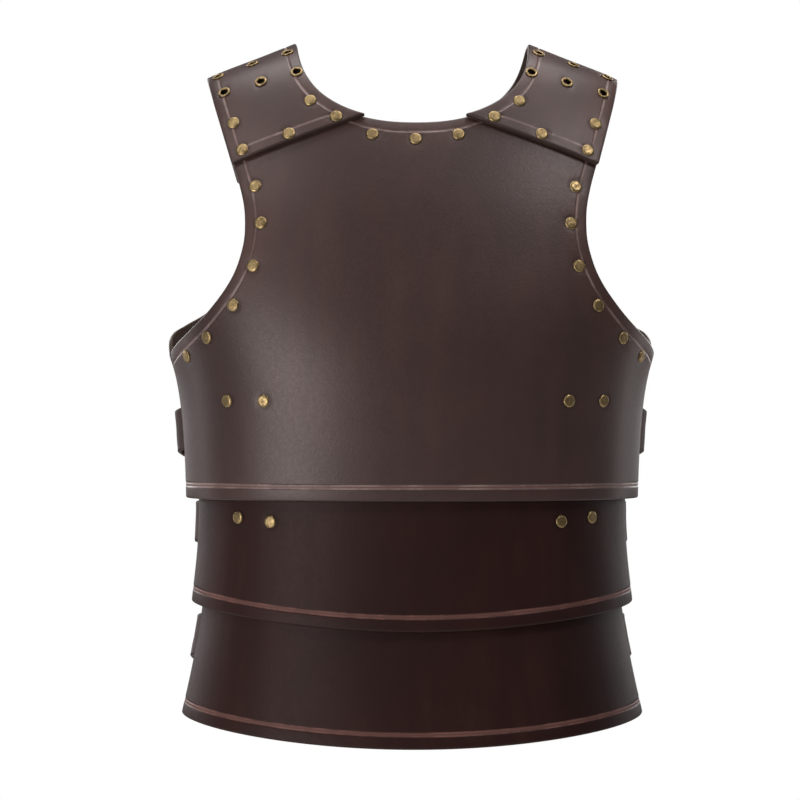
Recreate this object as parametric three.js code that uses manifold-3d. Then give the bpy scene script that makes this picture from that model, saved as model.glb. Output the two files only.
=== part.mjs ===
// Leather cuirass in its worn form, in millimetres, +Z up, the wearer facing -Y.
// The origin lies midway between the two places where the wearer's shoulders carry the straps.
// Every leather piece is laid on a body form: a stack of rounded sections, one table for each form.
// "angle" runs round the body from the middle of the front, 90 degrees at the wearer's left side,
// and "lift" is how far a point stands off the form, along the form's own normal.

import * as THREE from 'three';
import { mergeVertices } from 'three/addons/utils/BufferGeometryUtils.js';
import Module from 'manifold-3d';

const wasm = await Module();
wasm.setup();

// ---------------------------------------------------------------- driving dimensions

const GAP = 0.5; // between pieces that touch, wide enough for their flat facets
const INNER_GAP = 0.9; // the same inside a hollow face, where facets bow the other way
const PLATE = 3.5; // leather of plates and lames
const SHOULDER = 4; // leather of the shoulder straps
const STRAP = 3; // leather of side straps and hangers
const CHAPE = 2; // leather of the chapes
const ROUNDNESS = 2.3; // exponent of each section's outline; 2 would be an ellipse

const HEM = -315.5; // lower edge of breast and back plate
const FRONT_EDGE = -5; // where the front pieces end at the side, along Y
const BACK_EDGE = 21; // where the back pieces end at the side, along Y
const ARMPIT = -211; // top of the side edges

const UPPER_LAME = { top: -288, side: -391.5, middle: -407.5 };
const LOWER_LAME = { top: -366, side: -473.5, middle: -489.5 };

const NECK = { halfWidth: 82.5, top: 12, frontBottom: -47.5, backBottom: -40, roundness: 2.3 };

const SIDE_STRAP_WIDTH = 30;
const HANGER_WIDTH = 24;
const HANGER_SAG = 1; // how far a hanger, straight across, stands in from the curved wall

const RIVET = { cap: 4.7, height: 1.9, shank: 1.5, hole: 1.9, head: 3.6, headHeight: 1 };
const EYELET = { flange: 4.6, bore: 2.6, barrel: 3.3, hole: 4, rim: 0.9 };

const ALONG = 12; // columns of facets from the middle of a plate to its side
const degrees = Math.PI / 180;

// ---------------------------------------------------------------- body forms

const table = (names, ...rows) =>
  rows.map((row) => Object.fromEntries(names.map((name, i) => [name, row[i]])));

// The inner face of the plates and, above them, what the shoulder straps follow.
const SECTIONS = ['z', 'halfWidth', 'depth'];
const CHEST_FRONT = table(SECTIONS,
  [22, 52.5, 15], [9.8, 82.6, 31], [0, 106.8, 43], [-16.7, 148.1, 55], [-30, 168, 63],
  [-45, 178, 72], [-65, 184, 83], [-100, 188, 98.5], [-140, 187, 110], [-180, 182, 118],
  [-200, 177, 120.5], [-214.5, 172.7, 121.5], [-226.5, 169.4, 121.5], [-240, 167, 121],
  [-281.5, 163.3, 117.5], [-315.5, 162.2, 114]);
const CHEST_BACK = table(SECTIONS,
  [22, 52.5, 15], [9.8, 82.6, 31], [0, 106.8, 43], [-16.7, 148.1, 56], [-30, 168, 65],
  [-45, 178, 76], [-65, 185, 89], [-100, 191, 105], [-140, 193, 116], [-180, 189, 120],
  [-192, 186, 120], [-211, 177, 118.5], [-226, 172.5, 116.5], [-240, 170, 114],
  [-281.5, 166.5, 104], [-315.5, 165, 98]);
const WAIST_FRONT = table(SECTIONS,
  [-288, 152.5, 109], [-320, 152.9, 108.6], [-345, 153.5, 109.3], [-391.5, 158.2, 112.5],
  [-408, 160, 114]);
const WAIST_BACK = table(SECTIONS,
  [-288, 152.8, 93.4], [-320, 153.2, 92.6], [-345, 153.8, 94], [-391.5, 158.5, 99.5],
  [-408, 160, 102]);
const HIP_FRONT = table(SECTIONS,
  [-366, 149.5, 105.6], [-397, 150.5, 107.3], [-435, 157, 112], [-473.5, 165.5, 117.5],
  [-490, 169.5, 120]);
const HIP_BACK = table(SECTIONS,
  [-366, 149.8, 91], [-397, 151, 94.6], [-435, 157.5, 103], [-473.5, 166, 112],
  [-490, 170, 116]);

// A smooth curve through one column of a table, by parabolas through each three rows.
function column(rows, name, z) {
  const clamped = Math.min(Math.max(z, rows.at(-1).z), rows[0].z);
  let k = rows.findIndex((row) => row.z <= clamped) - 1;
  k = Math.min(Math.max(k, 0), rows.length - 2);
  const rise = (i) => (rows[i + 1][name] - rows[i][name]) / (rows[i + 1].z - rows[i].z);
  const slope = (i) => {
    if (i === 0) return rise(0);
    if (i === rows.length - 1) return rise(i - 1);
    const before = rows[i].z - rows[i - 1].z;
    const after = rows[i + 1].z - rows[i].z;
    return (rise(i - 1) * after + rise(i) * before) / (before + after);
  };
  const span = rows[k + 1].z - rows[k].z;
  const t = (clamped - rows[k].z) / span;
  const value = (2 * t ** 3 - 3 * t ** 2 + 1) * rows[k][name]
    + (t ** 3 - 2 * t ** 2 + t) * span * slope(k)
    + (3 * t ** 2 - 2 * t ** 3) * rows[k + 1][name]
    + (t ** 3 - t ** 2) * span * slope(k + 1);
  const beyond = z - clamped;
  return beyond ? value + beyond * slope(z > clamped ? 0 : rows.length - 1) : value;
}

function ring(form, angle, z) {
  const sine = Math.sin(angle);
  const cosine = Math.cos(angle);
  const reach = (Math.abs(sine) ** ROUNDNESS + Math.abs(cosine) ** ROUNDNESS) ** (-1 / ROUNDNESS);
  return new THREE.Vector3(
    column(form, 'halfWidth', z) * sine * reach,
    -column(form, 'depth', z) * cosine * reach,
    z,
  );
}

function outward(form, angle, z) {
  const step = 0.004;
  const round = ring(form, angle + step, z).sub(ring(form, angle - step, z));
  const up = ring(form, angle, z + step).sub(ring(form, angle, z - step));
  return round.cross(up).normalize();
}

const onForm = (form, angle, z, lift) =>
  ring(form, angle, z).addScaledVector(outward(form, angle, z), lift);

// The angle at which a form's section is x wide of the middle, in front or behind.
function angleAt(form, x, z) {
  const across = Math.min(Math.abs(x) / column(form, 'halfWidth', z), 1);
  const along = (1 - across ** ROUNDNESS) ** (1 / ROUNDNESS);
  return Math.atan2(across, along);
}

// The angle from the middle at which a section comes to within y of the side's widest line.
const edgeAngle = (form, y, z) => Math.acos(Math.abs(y) / column(form, 'depth', z));

// Distance round a section, from the side line (0), negative towards the front.
const RING_STEPS = 120;
const ringLengths = new Map();
const SECTION_NAMES = new Map([
  [CHEST_FRONT, 'chest front'], [CHEST_BACK, 'chest back'], [WAIST_FRONT, 'waist front'],
  [WAIST_BACK, 'waist back'], [HIP_FRONT, 'hip front'], [HIP_BACK, 'hip back']]);
function ringLength(form, z) {
  const key = `${SECTION_NAMES.get(form)} ${z.toFixed(2)}`;
  if (!ringLengths.has(key)) {
    const lengths = [0];
    for (let i = 1; i <= RING_STEPS; i++) {
      const here = ring(form, (Math.PI * i) / RING_STEPS, z);
      const last = ring(form, (Math.PI * (i - 1)) / RING_STEPS, z);
      lengths.push(lengths[i - 1] + here.distanceTo(last));
    }
    const side = lengths[RING_STEPS / 2];
    ringLengths.set(key, lengths.map((length) => length - side));
  }
  return ringLengths.get(key);
}

function angleRound(form, distance, z) {
  const lengths = ringLength(form, z);
  let k = lengths.findIndex((length) => length >= distance);
  k = Math.min(Math.max(k, 1), RING_STEPS);
  const part = (distance - lengths[k - 1]) / (lengths[k] - lengths[k - 1]);
  return (Math.PI * (k - 1 + part)) / RING_STEPS;
}

// ---------------------------------------------------------------- leather sheets

const mix = THREE.MathUtils.lerp;
const smooth = THREE.MathUtils.smoothstep;

// A closed solid from patches of quads. Each patch is a grid of places; place(spot, lift) gives
// a point, the same spots on two patches are welded, and open edges get a wall.
function leather(patches, place, low, high) {
  const spots = [];
  const found = new Map();
  const index = (spot) => {
    const key = spot.map((value) => value.toFixed(5)).join(' ');
    if (!found.has(key)) found.set(key, spots.push(spot) - 1);
    return found.get(key);
  };
  const quads = [];
  for (const grid of patches) {
    for (let j = 1; j < grid.length; j++) {
      for (let i = 1; i < grid[j].length; i++) {
        quads.push([grid[j - 1][i - 1], grid[j - 1][i], grid[j][i], grid[j][i - 1]].map(index));
      }
    }
  }
  const points = [
    ...spots.map((spot) => place(spot, high)),
    ...spots.map((spot) => place(spot, low)),
  ];
  const under = spots.length;
  const faces = [];
  const edges = new Set();
  for (const [a, b, c, d] of quads) {
    faces.push([a, b, c], [a, c, d], [c + under, b + under, a + under],
      [d + under, c + under, a + under]);
    for (const [from, to] of [[a, b], [b, c], [c, d], [d, a]]) edges.add(`${from} ${to}`);
  }
  for (const edge of edges) {
    const [from, to] = edge.split(' ').map(Number);
    if (!edges.has(`${to} ${from}`)) {
      faces.push([from, from + under, to + under], [from, to + under, to]);
    }
  }
  return solid(points, faces);
}

// Geometry from points and triangles, turned the right way out.
function solid(points, faces) {
  let volume = 0;
  for (const [a, b, c] of faces) volume += points[a].dot(points[b].clone().cross(points[c]));
  const turned = volume < 0 ? faces.map(([a, b, c]) => [a, c, b]) : faces;
  const geometry = new THREE.BufferGeometry();
  const flat = points.flatMap((point) => point.toArray());
  geometry.setAttribute('position', new THREE.Float32BufferAttribute(flat, 3));
  geometry.setIndex(turned.flat());
  return geometry;
}

const grid = (columns, rows, spot) =>
  Array.from({ length: rows + 1 }, (_, j) =>
    Array.from({ length: columns + 1 }, (_, i) => spot(i / columns, j / rows)));

// ---------------------------------------------------------------- boolean cuts

function toManifold(geometry) {
  const bare = geometry.clone();
  bare.deleteAttribute('normal');
  bare.deleteAttribute('uv');
  const welded = mergeVertices(bare, 1e-4);
  return new wasm.Manifold(new wasm.Mesh({
    numProp: 3,
    vertProperties: new Float32Array(welded.attributes.position.array),
    triVerts: new Uint32Array(welded.index.array),
  }));
}

function fromManifold(body) {
  const mesh = body.getMesh();
  const geometry = new THREE.BufferGeometry();
  geometry.setAttribute('position', new THREE.BufferAttribute(mesh.vertProperties, 3));
  geometry.setIndex(new THREE.BufferAttribute(mesh.triVerts, 1));
  return geometry;
}

function cut(geometry, tools) {
  let body = toManifold(geometry);
  for (const tool of tools) body = body.subtract(toManifold(tool));
  return fromManifold(body);
}

const join = (first, ...others) =>
  fromManifold(others.reduce((body, other) => body.add(toManifold(other)), toManifold(first)));

// ---------------------------------------------------------------- round metal and its holes

// A turned piece whose axis is +Z, from a profile of [radius, height] pairs.
function turned(profile, sides) {
  const points = profile.map(([radius, height]) => new THREE.Vector2(radius, height));
  return new THREE.LatheGeometry(points, sides).rotateX(Math.PI / 2);
}

// Puts a piece made round +Z at a place on a form, with its +Z along the form's normal.
function stand(geometry, { form, angle, z, lift }) {
  const normal = outward(form, angle, z);
  const point = ring(form, angle, z).addScaledVector(normal, lift);
  const turn = new THREE.Quaternion().setFromUnitVectors(new THREE.Vector3(0, 0, 1), normal);
  return geometry.applyQuaternion(turn).translate(point.x, point.y, point.z);
}

// A rivet: its cap at height 0, its shank down through the leather, its head inside.
function rivet(through) {
  const { cap, height, shank, head, headHeight } = RIVET;
  const foot = -through - GAP;
  return turned([[0, foot - headHeight], [head, foot], [shank, foot], [shank, GAP], [cap, GAP],
    [cap * 0.72, GAP + height * 0.75], [0, GAP + height]], 8);
}

function eyelet(through) {
  const { flange, bore, barrel, rim } = EYELET;
  const foot = -through - GAP;
  return turned([[bore, foot - rim], [flange, foot], [barrel, foot], [barrel, GAP],
    [flange, GAP], [bore, GAP + rim], [bore, foot - rim]], 8);
}

// A round cutter for a rivet's or an eyelet's hole.
const drill = (radius, depth) =>
  new THREE.CylinderGeometry(radius, radius, depth, 6).rotateX(Math.PI / 2);

// The place on a form where a point at that lift is x from the middle and at height z.
function placeAt(form, x, z, lift) {
  let [formX, formZ] = [x, z];
  for (let round = 0; round < 12; round++) {
    const point = onForm(form, angleAt(form, formX, formZ), formZ, lift);
    formX += (x - point.x) * 0.8;
    formZ += (z - point.z) * 0.8;
  }
  return { form, angle: angleAt(form, formX, formZ), z: formZ, lift };
}

// ---------------------------------------------------------------- outlines of the plates

// The armhole edges, from the shoulder down to the side edge: angle in degrees, and height.
const ARMHOLE = table(['angle', 'z'],
  [49.3, -42], [44.3, -62], [40.5, -84], [38.3, -104], [37.8, -120], [38.5, -136], [41.2, -155],
  [46, -171.5], [53, -186], [62, -197], [72, -204.5], [81, -209]);
const BACK_ARMHOLE = table(['angle', 'z'],
  [48.8, -42], [43.8, -62], [40, -84], [37.5, -104], [37, -122], [38.2, -142], [42.5, -162],
  [50, -178], [59, -187.5], [67, -193.5], [73.5, -200.5]);

function neckX(z, bottom) {
  const share = Math.abs((NECK.top - z) / (NECK.top - bottom)) ** NECK.roundness;
  return NECK.halfWidth * Math.max(0, 1 - share) ** (1 / NECK.roundness);
}

// Where, at an angle, a form passes the line given by how far it is from the middle at height z.
function heightAt(form, angle, lineX, low, high) {
  let [below, above] = [low, high];
  for (let round = 0; round < 40; round++) {
    const z = (below + above) / 2;
    if (ring(form, angle, z).x > lineX(z)) below = z;
    else above = z;
  }
  return (below + above) / 2;
}

// A place on a polyline of [angle, z] spots, by its share of the length.
function spotOn(line, share) {
  const radius = 130;
  const lengths = [0];
  for (let i = 1; i < line.length; i++) {
    lengths.push(lengths[i - 1]
      + Math.hypot((line[i][0] - line[i - 1][0]) * radius, line[i][1] - line[i - 1][1]));
  }
  const target = share * lengths.at(-1);
  const k = Math.max(lengths.findIndex((length) => length >= target - 1e-9), 1);
  const part = (target - lengths[k - 1]) / (lengths[k] - lengths[k - 1]);
  return [mix(line[k - 1][0], line[k][0], part), mix(line[k - 1][1], line[k][1], part)];
}

// The neck's edge over a range of angles.
function neckLine(form, bottom, from, to) {
  const steps = 24;
  return Array.from({ length: steps + 1 }, (_, i) => {
    const angle = mix(from, to, i / steps);
    return [angle, heightAt(form, angle, (z) => neckX(z, bottom), bottom, NECK.top)];
  });
}

// A smooth line from a table of angles and heights, ending at the side edge.
function armholeLine(rows, corner) {
  const spots = rows.map(({ angle, z }) => new THREE.Vector2(angle, z));
  spots.push(new THREE.Vector2(corner[0] / degrees, corner[1]));
  return new THREE.SplineCurve(spots).getPoints(72).map(({ x, y }) => [x * degrees, y]);
}

// The rows of a half plate, from the hem up to the shoulder. The low rows run to the side edge,
// and the others to the armhole; the high rows start at the neck's edge, the others in the middle.
const LOW_ROWS = 5;
const MIDDLE_ROWS = 7;
const HIGH_ROWS = 7;
const ARMHOLE_SPLIT = 0.54; // share of the armhole's edge that the middle rows take
const MIDDLE_AT_ARMPIT = -200; // height in the middle of the row that ends at the armpit

function halfPlate({ form, edge, armhole, neckBottom, neckAngle }) {
  const side = (z) => [edgeAngle(form, edge, z), z];
  const opening = armholeLine(armhole, side(ARMPIT)).reverse();
  const neck = neckLine(form, neckBottom, 0, neckAngle);
  return (across, up) => {
    const row = up * (LOW_ROWS + MIDDLE_ROWS + HIGH_ROWS);
    const low = row / LOW_ROWS;
    const middle = (row - LOW_ROWS) / MIDDLE_ROWS;
    const high = (row - LOW_ROWS - MIDDLE_ROWS) / HIGH_ROWS;
    let ends;
    if (low <= 1) ends = [[0, mix(HEM, MIDDLE_AT_ARMPIT, low)], side(mix(HEM, ARMPIT, low))];
    else if (middle <= 1) {
      ends = [[0, mix(MIDDLE_AT_ARMPIT, neckBottom, middle)],
        spotOn(opening, middle * ARMHOLE_SPLIT)];
    } else ends = [spotOn(neck, high), spotOn(opening, mix(ARMHOLE_SPLIT, 1, high))];
    return [mix(ends[0][0], ends[1][0], across), mix(ends[0][1], ends[1][1], across)];
  };
}

// Both halves of a plate or lame, mirrored about the middle of the front or the back.
function bothHalves(columns, rows, half, behind) {
  const left = grid(columns, rows, (u, v) => {
    const [angle, z] = half(u, v);
    return [behind ? Math.PI - angle : angle, z];
  });
  const right = grid(columns, rows, (u, v) => {
    const [angle, z] = half(1 - u, v);
    return [behind ? Math.PI + angle : -angle, z];
  });
  return [left, right];
}

const placeOn = (form) => ([angle, z], lift) => onForm(form, angle, z, lift);

function chestPlate(outline, behind) {
  const rows = LOW_ROWS + MIDDLE_ROWS + HIGH_ROWS;
  const patches = bothHalves(ALONG, rows, halfPlate(outline), behind);
  return leather(patches, placeOn(outline.form), 0, PLATE);
}

function lame(form, edge, { top, side, middle }, behind) {
  const half = (across, up) => {
    const bottom = mix(side, middle, Math.cos(across * Math.PI / 2) ** 2);
    const z = mix(bottom, top, up);
    return [across * edgeAngle(form, edge, z), z];
  };
  return leather(bothHalves(ALONG, 4, half, behind), placeOn(form), 0, PLATE);
}

// ---------------------------------------------------------------- shoulder straps

const STRAP_LIFT = PLATE + GAP;
const RIDGE = 90 * degrees;
const STRAP_ENDS = {
  front: { form: CHEST_FRONT, neckBottom: NECK.frontBottom, inner: 11.3, outer: 41.3 },
  back: { form: CHEST_BACK, neckBottom: NECK.backBottom, inner: 11.3, outer: 40.2 },
};
const STRAP_EDGE = { x: 129, z: -77, slant: 0.3 }; // a point of the outer edge, and its slant

function strapEdges({ form, neckBottom, inner, outer }) {
  const neck = neckLine(form, neckBottom, inner * degrees, RIDGE);
  const edgeX = (z) => STRAP_EDGE.x + (z - STRAP_EDGE.z) * STRAP_EDGE.slant;
  const steps = 24;
  const edge = Array.from({ length: steps + 1 }, (_, i) => {
    const angle = mix(outer * degrees, RIDGE, i / steps);
    return [angle, heightAt(form, angle, edgeX, -110, 10)];
  });
  return { neck, edge };
}

function shoulderStrap() {
  const columns = 5;
  const halfRows = 11;
  const front = strapEdges(STRAP_ENDS.front);
  const back = strapEdges(STRAP_ENDS.back);
  const rows = Array.from({ length: halfRows * 2 + 1 }, (_, j) => {
    const behind = j > halfRows;
    const { neck, edge } = behind ? back : front;
    const share = 1 - Math.abs(j - halfRows) / halfRows;
    const [from, to] = [spotOn(neck, share), spotOn(edge, share)];
    return Array.from({ length: columns + 1 }, (_, i) => {
      const angle = mix(from[0], to[0], i / columns);
      return [behind ? Math.PI - angle : angle, mix(from[1], to[1], i / columns)];
    });
  });
  const place = ([angle, z], lift) =>
    onForm(angle <= RIDGE ? CHEST_FRONT : CHEST_BACK, angle, z, lift);
  return leather([rows], place, STRAP_LIFT, STRAP_LIFT + SHOULDER);
}

// ---------------------------------------------------------------- side straps and buckles

// What each side strap joins, its height at the side, how steeply it drops towards the back,
// and where it starts inside the front piece.
const SIDE_STRAPS = {
  upper: { front: CHEST_FRONT, back: CHEST_BACK, z: -263.5, drop: 13, start: -97 },
  middle: { front: WAIST_FRONT, back: WAIST_BACK, z: -332, drop: 8, start: -90 },
  lower: { front: HIP_FRONT, back: HIP_BACK, z: -414.5, drop: 16, start: -112 },
};
const STRAP_SEAT = 0.8; // a side strap's underside over the back piece
const BUCKLE = { bar: 60, heel: 86, halfWidth: 20, wire: 2.8, foot: STRAP_SEAT + STRAP + GAP };
const PRONG = { width: 2.8, slot: 2.3 };
const STRAP_END = 130; // tip of a side strap, measured from the side line
const STRAP_POINT = 14; // length of its rounded tip
const CHAPE_SIZE = { halfWidth: 13, lower: 30, upper: 24, loop: BUCKLE.wire * 0.75 + 0.3 };

// How a side strap climbs over the back piece: under the buckle's bar, then over its heel.
const CLIMB = table(['s', 'rise'],
  [0, 0], [62, 0], [80, 9.9], [92, 9.9], [103, 5.2], [116, 4.8], [124, 0.8], [140, 0]);
function climbAt(s) {
  const k = Math.max(CLIMB.findIndex((row) => row.s >= s), 1);
  return mix(CLIMB[k - 1].rise, CLIMB[k].rise, smooth(s, CLIMB[k - 1].s, CLIMB[k].s));
}

// A point by a side strap: s along it from the side line, w across it, h off the back piece.
function besideStrap(strap, s, w, h) {
  const drop = strap.drop * degrees;
  const round = s * Math.cos(drop) + w * Math.sin(drop);
  const z = strap.z - s * Math.sin(drop) + w * Math.cos(drop);
  const inside = onForm(strap.front, angleRound(strap.front, round, z), z,
    h - STRAP_SEAT - STRAP - INNER_GAP);
  const outside = onForm(strap.back, angleRound(strap.back, round, z), z, h + PLATE);
  return inside.lerp(outside, smooth(round, FRONT_EDGE, BACK_EDGE - 4));
}

// Lays a piece made flat (x along the strap, y across, z up) on the back piece.
function layOn(strap, geometry) {
  const position = geometry.attributes.position;
  for (let i = 0; i < position.count; i++) {
    const laid = besideStrap(strap, position.getX(i), position.getY(i), position.getZ(i));
    position.setXYZ(i, laid.x, laid.y, laid.z);
  }
  return geometry;
}

const steps = (from, to, count) =>
  Array.from({ length: count + 1 }, (_, i) => mix(from, to, i / count));

function sideStrap(strap) {
  const tip = STRAP_END - STRAP_POINT;
  const stations = [
    ...steps(strap.start, FRONT_EDGE - 6, 7), ...steps(FRONT_EDGE - 3, BACK_EDGE + 3, 8),
    ...steps(BACK_EDGE + 12, BUCKLE.bar, 3), ...steps(BUCKLE.bar + 4, tip, 12),
    tip + STRAP_POINT * 0.6, tip + STRAP_POINT * 0.9, STRAP_END];
  const half = SIDE_STRAP_WIDTH / 2;
  const width = (s) => (s < tip ? half
    : half * Math.sqrt(Math.max(0.08, 1 - ((s - tip) / STRAP_POINT) ** 2)));
  const rows = [-1, 1].map((side) => stations.map((s) => [s, side * width(s)]));
  const place = ([s, w], lift) => besideStrap(strap, s, w, STRAP_SEAT + climbAt(s) + lift);
  const slot = layOn(strap, new THREE.BoxGeometry(20, PRONG.slot * 2, 16)
    .translate(BUCKLE.bar + 12, 0, 8));
  return cut(leather([rows], place, 0, STRAP), [slot]);
}

function polygon(points) {
  const shape = new THREE.Shape();
  points.forEach(([x, y], i) => (i ? shape.lineTo(x, y) : shape.moveTo(x, y)));
  return shape;
}

// An outline in the plane of a strap's length and its height, given a width across the strap.
const acrossStrap = (points, width) =>
  new THREE.ExtrudeGeometry(polygon(points), { depth: width, bevelEnabled: false })
    .rotateX(Math.PI / 2).translate(0, width / 2, 0);

// A heel-bar buckle with its prong resting on the bar; the two are one solid, since it is closed.
function buckle(strap) {
  const { bar, heel, halfWidth, wire, foot } = BUCKLE;
  const reach = wire / 2;
  const outer = polygon([[bar - reach, 3 - halfWidth], [bar + 2, -halfWidth - reach],
    [heel - 1, -halfWidth - reach], [heel + reach, 2 - halfWidth], [heel + reach, halfWidth - 2],
    [heel - 1, halfWidth + reach], [bar + 2, halfWidth + reach], [bar - reach, halfWidth - 3]]);
  outer.holes.push(polygon([[bar + reach, reach - halfWidth], [bar + reach, halfWidth - reach],
    [heel - reach, halfWidth - reach], [heel - reach, reach - halfWidth]]));
  const frame = new THREE.ExtrudeGeometry(outer, { depth: wire, bevelEnabled: false })
    .translate(0, 0, foot);
  const top = foot + wire;
  const sink = 0.4;
  const prong = acrossStrap([[bar - 3, top - sink], [heel + 1, top - sink], [heel + 1, top + 0.9],
    [heel - 4, top + 1.8], [bar + 2, top + 1.8], [bar - 3, top + 0.8]], PRONG.width);
  return layOn(strap, join(frame, prong));
}

// The folded leather that holds the buckle by its heel bar and is riveted to the back piece.
function chape(strap) {
  const { heel, wire, foot } = BUCKLE;
  const { halfWidth, lower, upper, loop } = CHAPE_SIZE;
  const middle = foot + wire / 2;
  const second = GAP + CHAPE + 0.3;
  const bend = (radius, order) => order.map((share) => {
    const turn = (-90 - 180 * share) * degrees;
    return [heel + Math.cos(turn) * radius, middle + Math.sin(turn) * radius];
  });
  const round = steps(0, 1, 5);
  const level = (from, to, count, z) => steps(from, to, count).map((x) => [x, z]);
  const outline = [
    ...level(heel + lower, heel + 8, 3, GAP),
    ...bend(loop + CHAPE, round),
    ...level(heel + 10, heel + upper, 2, second + CHAPE),
    ...level(heel + upper, heel + 10, 2, second),
    ...bend(loop, round.toReversed()),
    ...level(heel + 8, heel + lower, 3, GAP + CHAPE)];
  const slot = new THREE.BoxGeometry(16, PRONG.slot * 2, 40).translate(heel - 3, 0, 0);
  return layOn(strap, cut(acrossStrap(outline, halfWidth * 2), [slot]));
}

// ---------------------------------------------------------------- hangers

// A hanger's height range, how far it is from the middle, and where it passes from the inside
// of one piece to the inside of the next.
const HANGERS = {
  front: {
    forms: [CHEST_FRONT, WAIST_FRONT, HIP_FRONT], x: 104, top: -229, bottom: -400,
    steps: [[-264, -284], [-346, -363]], lift: -INNER_GAP - STRAP - GAP,
  },
  back: {
    forms: [CHEST_BACK, WAIST_BACK, HIP_BACK], x: 62, top: -246, bottom: -412,
    steps: [[-264, -284], [-346, -363]], lift: -INNER_GAP,
  },
};

function onHanger({ forms, steps: passes }, x, z, lift) {
  const [chest, waist, hip] = forms.map((form) => onForm(form, angleAt(form, x, z), z, lift));
  return chest.lerp(waist, 1 - smooth(z, passes[0][1], passes[0][0]))
    .lerp(hip, 1 - smooth(z, passes[1][1], passes[1][0]));
}

function hanger(which) {
  const { x, top, bottom, lift } = which;
  const rows = grid(1, 12, (u, v) => [x + (u - 0.5) * HANGER_WIDTH, mix(bottom, top, v)]);
  const geometry = leather([rows], ([across, z], up) => onHanger(which, across, z, up),
    lift - STRAP, lift);
  return which.forms[0] === CHEST_BACK ? mirrored(geometry, 'y') : geometry;
}

// A copy on the other side, with its faces turned to point outwards again.
function mirrored(geometry, axis = 'x') {
  const copy = geometry.clone().scale(axis === 'x' ? -1 : 1, axis === 'y' ? -1 : 1, 1);
  const count = copy.attributes.position.count;
  const index = copy.index ? Array.from(copy.index.array) : steps(0, count - 1, count - 1);
  for (let i = 0; i < index.length; i += 3) {
    [index[i + 1], index[i + 2]] = [index[i + 2], index[i + 1]];
  }
  copy.setIndex(index);
  return copy;
}

// ---------------------------------------------------------------- materials

const leatherColour = new THREE.MeshStandardMaterial({
  name: 'leather', color: '#46373a', roughness: 0.55, metalness: 0,
});
const strapLeather = new THREE.MeshStandardMaterial({
  name: 'strap_leather', color: '#3a2b2a', roughness: 0.6, metalness: 0,
});
const brass = new THREE.MeshStandardMaterial({
  name: 'brass', color: '#a58c5a', roughness: 0.4, metalness: 1,
});

// ---------------------------------------------------------------- the cuirass

// Rivets and eyelets by how far they are from the middle and their height, as seen in front.
const SHOULDER_RIVETS = table(['x', 'z'],
  [75, -30], [56.5, -42], [90.2, -54.5], [123.5, -66], [130, -46]);
const EYELETS = table(['x', 'z'],
  [84.7, -8], [110.5, -15], [137, -22.5], [91.4, 8], [116.7, 0], [141.5, -9]);
const SIDE_RIVETS = {
  upper: table(['x', 'z'], [134, -245], [108, -245]),
  middle: table(['x', 'z'], [126.5, -328], [103.3, -330.5]),
};

const cuirass = new THREE.Group();
cuirass.name = 'cuirass';

function add(name, geometry, material) {
  const mesh = new THREE.Mesh(geometry, material);
  mesh.name = name;
  cuirass.add(mesh);
}

// A piece and its twin on the wearer's right.
function addPair(name, geometry, material) {
  add(`${name}_left`, geometry, material);
  add(`${name}_right`, mirrored(geometry), material);
}

const breastOutline = {
  form: CHEST_FRONT, edge: FRONT_EDGE, armhole: ARMHOLE, neckBottom: NECK.frontBottom,
  neckAngle: 28 * degrees,
};
const backOutline = {
  form: CHEST_BACK, edge: BACK_EDGE, armhole: BACK_ARMHOLE, neckBottom: NECK.backBottom,
  neckAngle: 28 * degrees,
};

// Every rivet with the lift of its cap's seat and the leather it goes through.
const strapTop = STRAP_LIFT + SHOULDER;
const shoulderRivets = SHOULDER_RIVETS.map(({ x, z }) =>
  ({ place: placeAt(CHEST_FRONT, x, z, strapTop), through: strapTop }));
const strapStack = PLATE + INNER_GAP + STRAP;
const hangerStack = strapStack + GAP + STRAP + HANGER_SAG;
const sideRivets = Object.entries(SIDE_RIVETS).flatMap(([name, spots]) =>
  spots.map(({ x, z }, i) => ({
    name,
    place: placeAt(SIDE_STRAPS[name].front, x, z, PLATE),
    through: i === 1 ? hangerStack : strapStack,
  })));
const eyelets = EYELETS.map(({ x, z }) =>
  ({ place: placeAt(CHEST_FRONT, x, z, strapTop), through: SHOULDER }));

// Cutters for one side, and the same for both sides.
const holes = (fasteners, radius) =>
  fasteners.map(({ place, through }) => stand(drill(radius, 2 * through + 8), place));
const both = (tools) => tools.flatMap((tool) => [tool, mirrored(tool)]);

const rivetHoles = (name) => holes(sideRivets.filter((each) => each.name === name), RIVET.hole);

add('breast_plate', cut(chestPlate(breastOutline, false),
  both([...holes(shoulderRivets, RIVET.hole), ...rivetHoles('upper')])), leatherColour);
add('back_plate', chestPlate(backOutline, true), leatherColour);
add('front_lame_upper', cut(lame(WAIST_FRONT, FRONT_EDGE, UPPER_LAME, false),
  both(rivetHoles('middle'))), leatherColour);
add('front_lame_lower', lame(HIP_FRONT, FRONT_EDGE, LOWER_LAME, false), leatherColour);
add('back_lame_upper', lame(WAIST_BACK, BACK_EDGE, UPPER_LAME, true), leatherColour);
add('back_lame_lower', lame(HIP_BACK, BACK_EDGE, LOWER_LAME, true), leatherColour);

addPair('shoulder_strap', cut(shoulderStrap(), [...holes(shoulderRivets, RIVET.hole),
  ...eyelets.map(({ place }) => stand(drill(EYELET.hole, 14), place))]), leatherColour);
eyelets.forEach(({ place, through }, i) => {
  addPair(`eyelet_${i + 1}`, stand(eyelet(through), place), brass);
});
shoulderRivets.forEach(({ place, through }, i) => {
  addPair(`rivet_shoulder_${i + 1}`, stand(rivet(through), place), brass);
});

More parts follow.
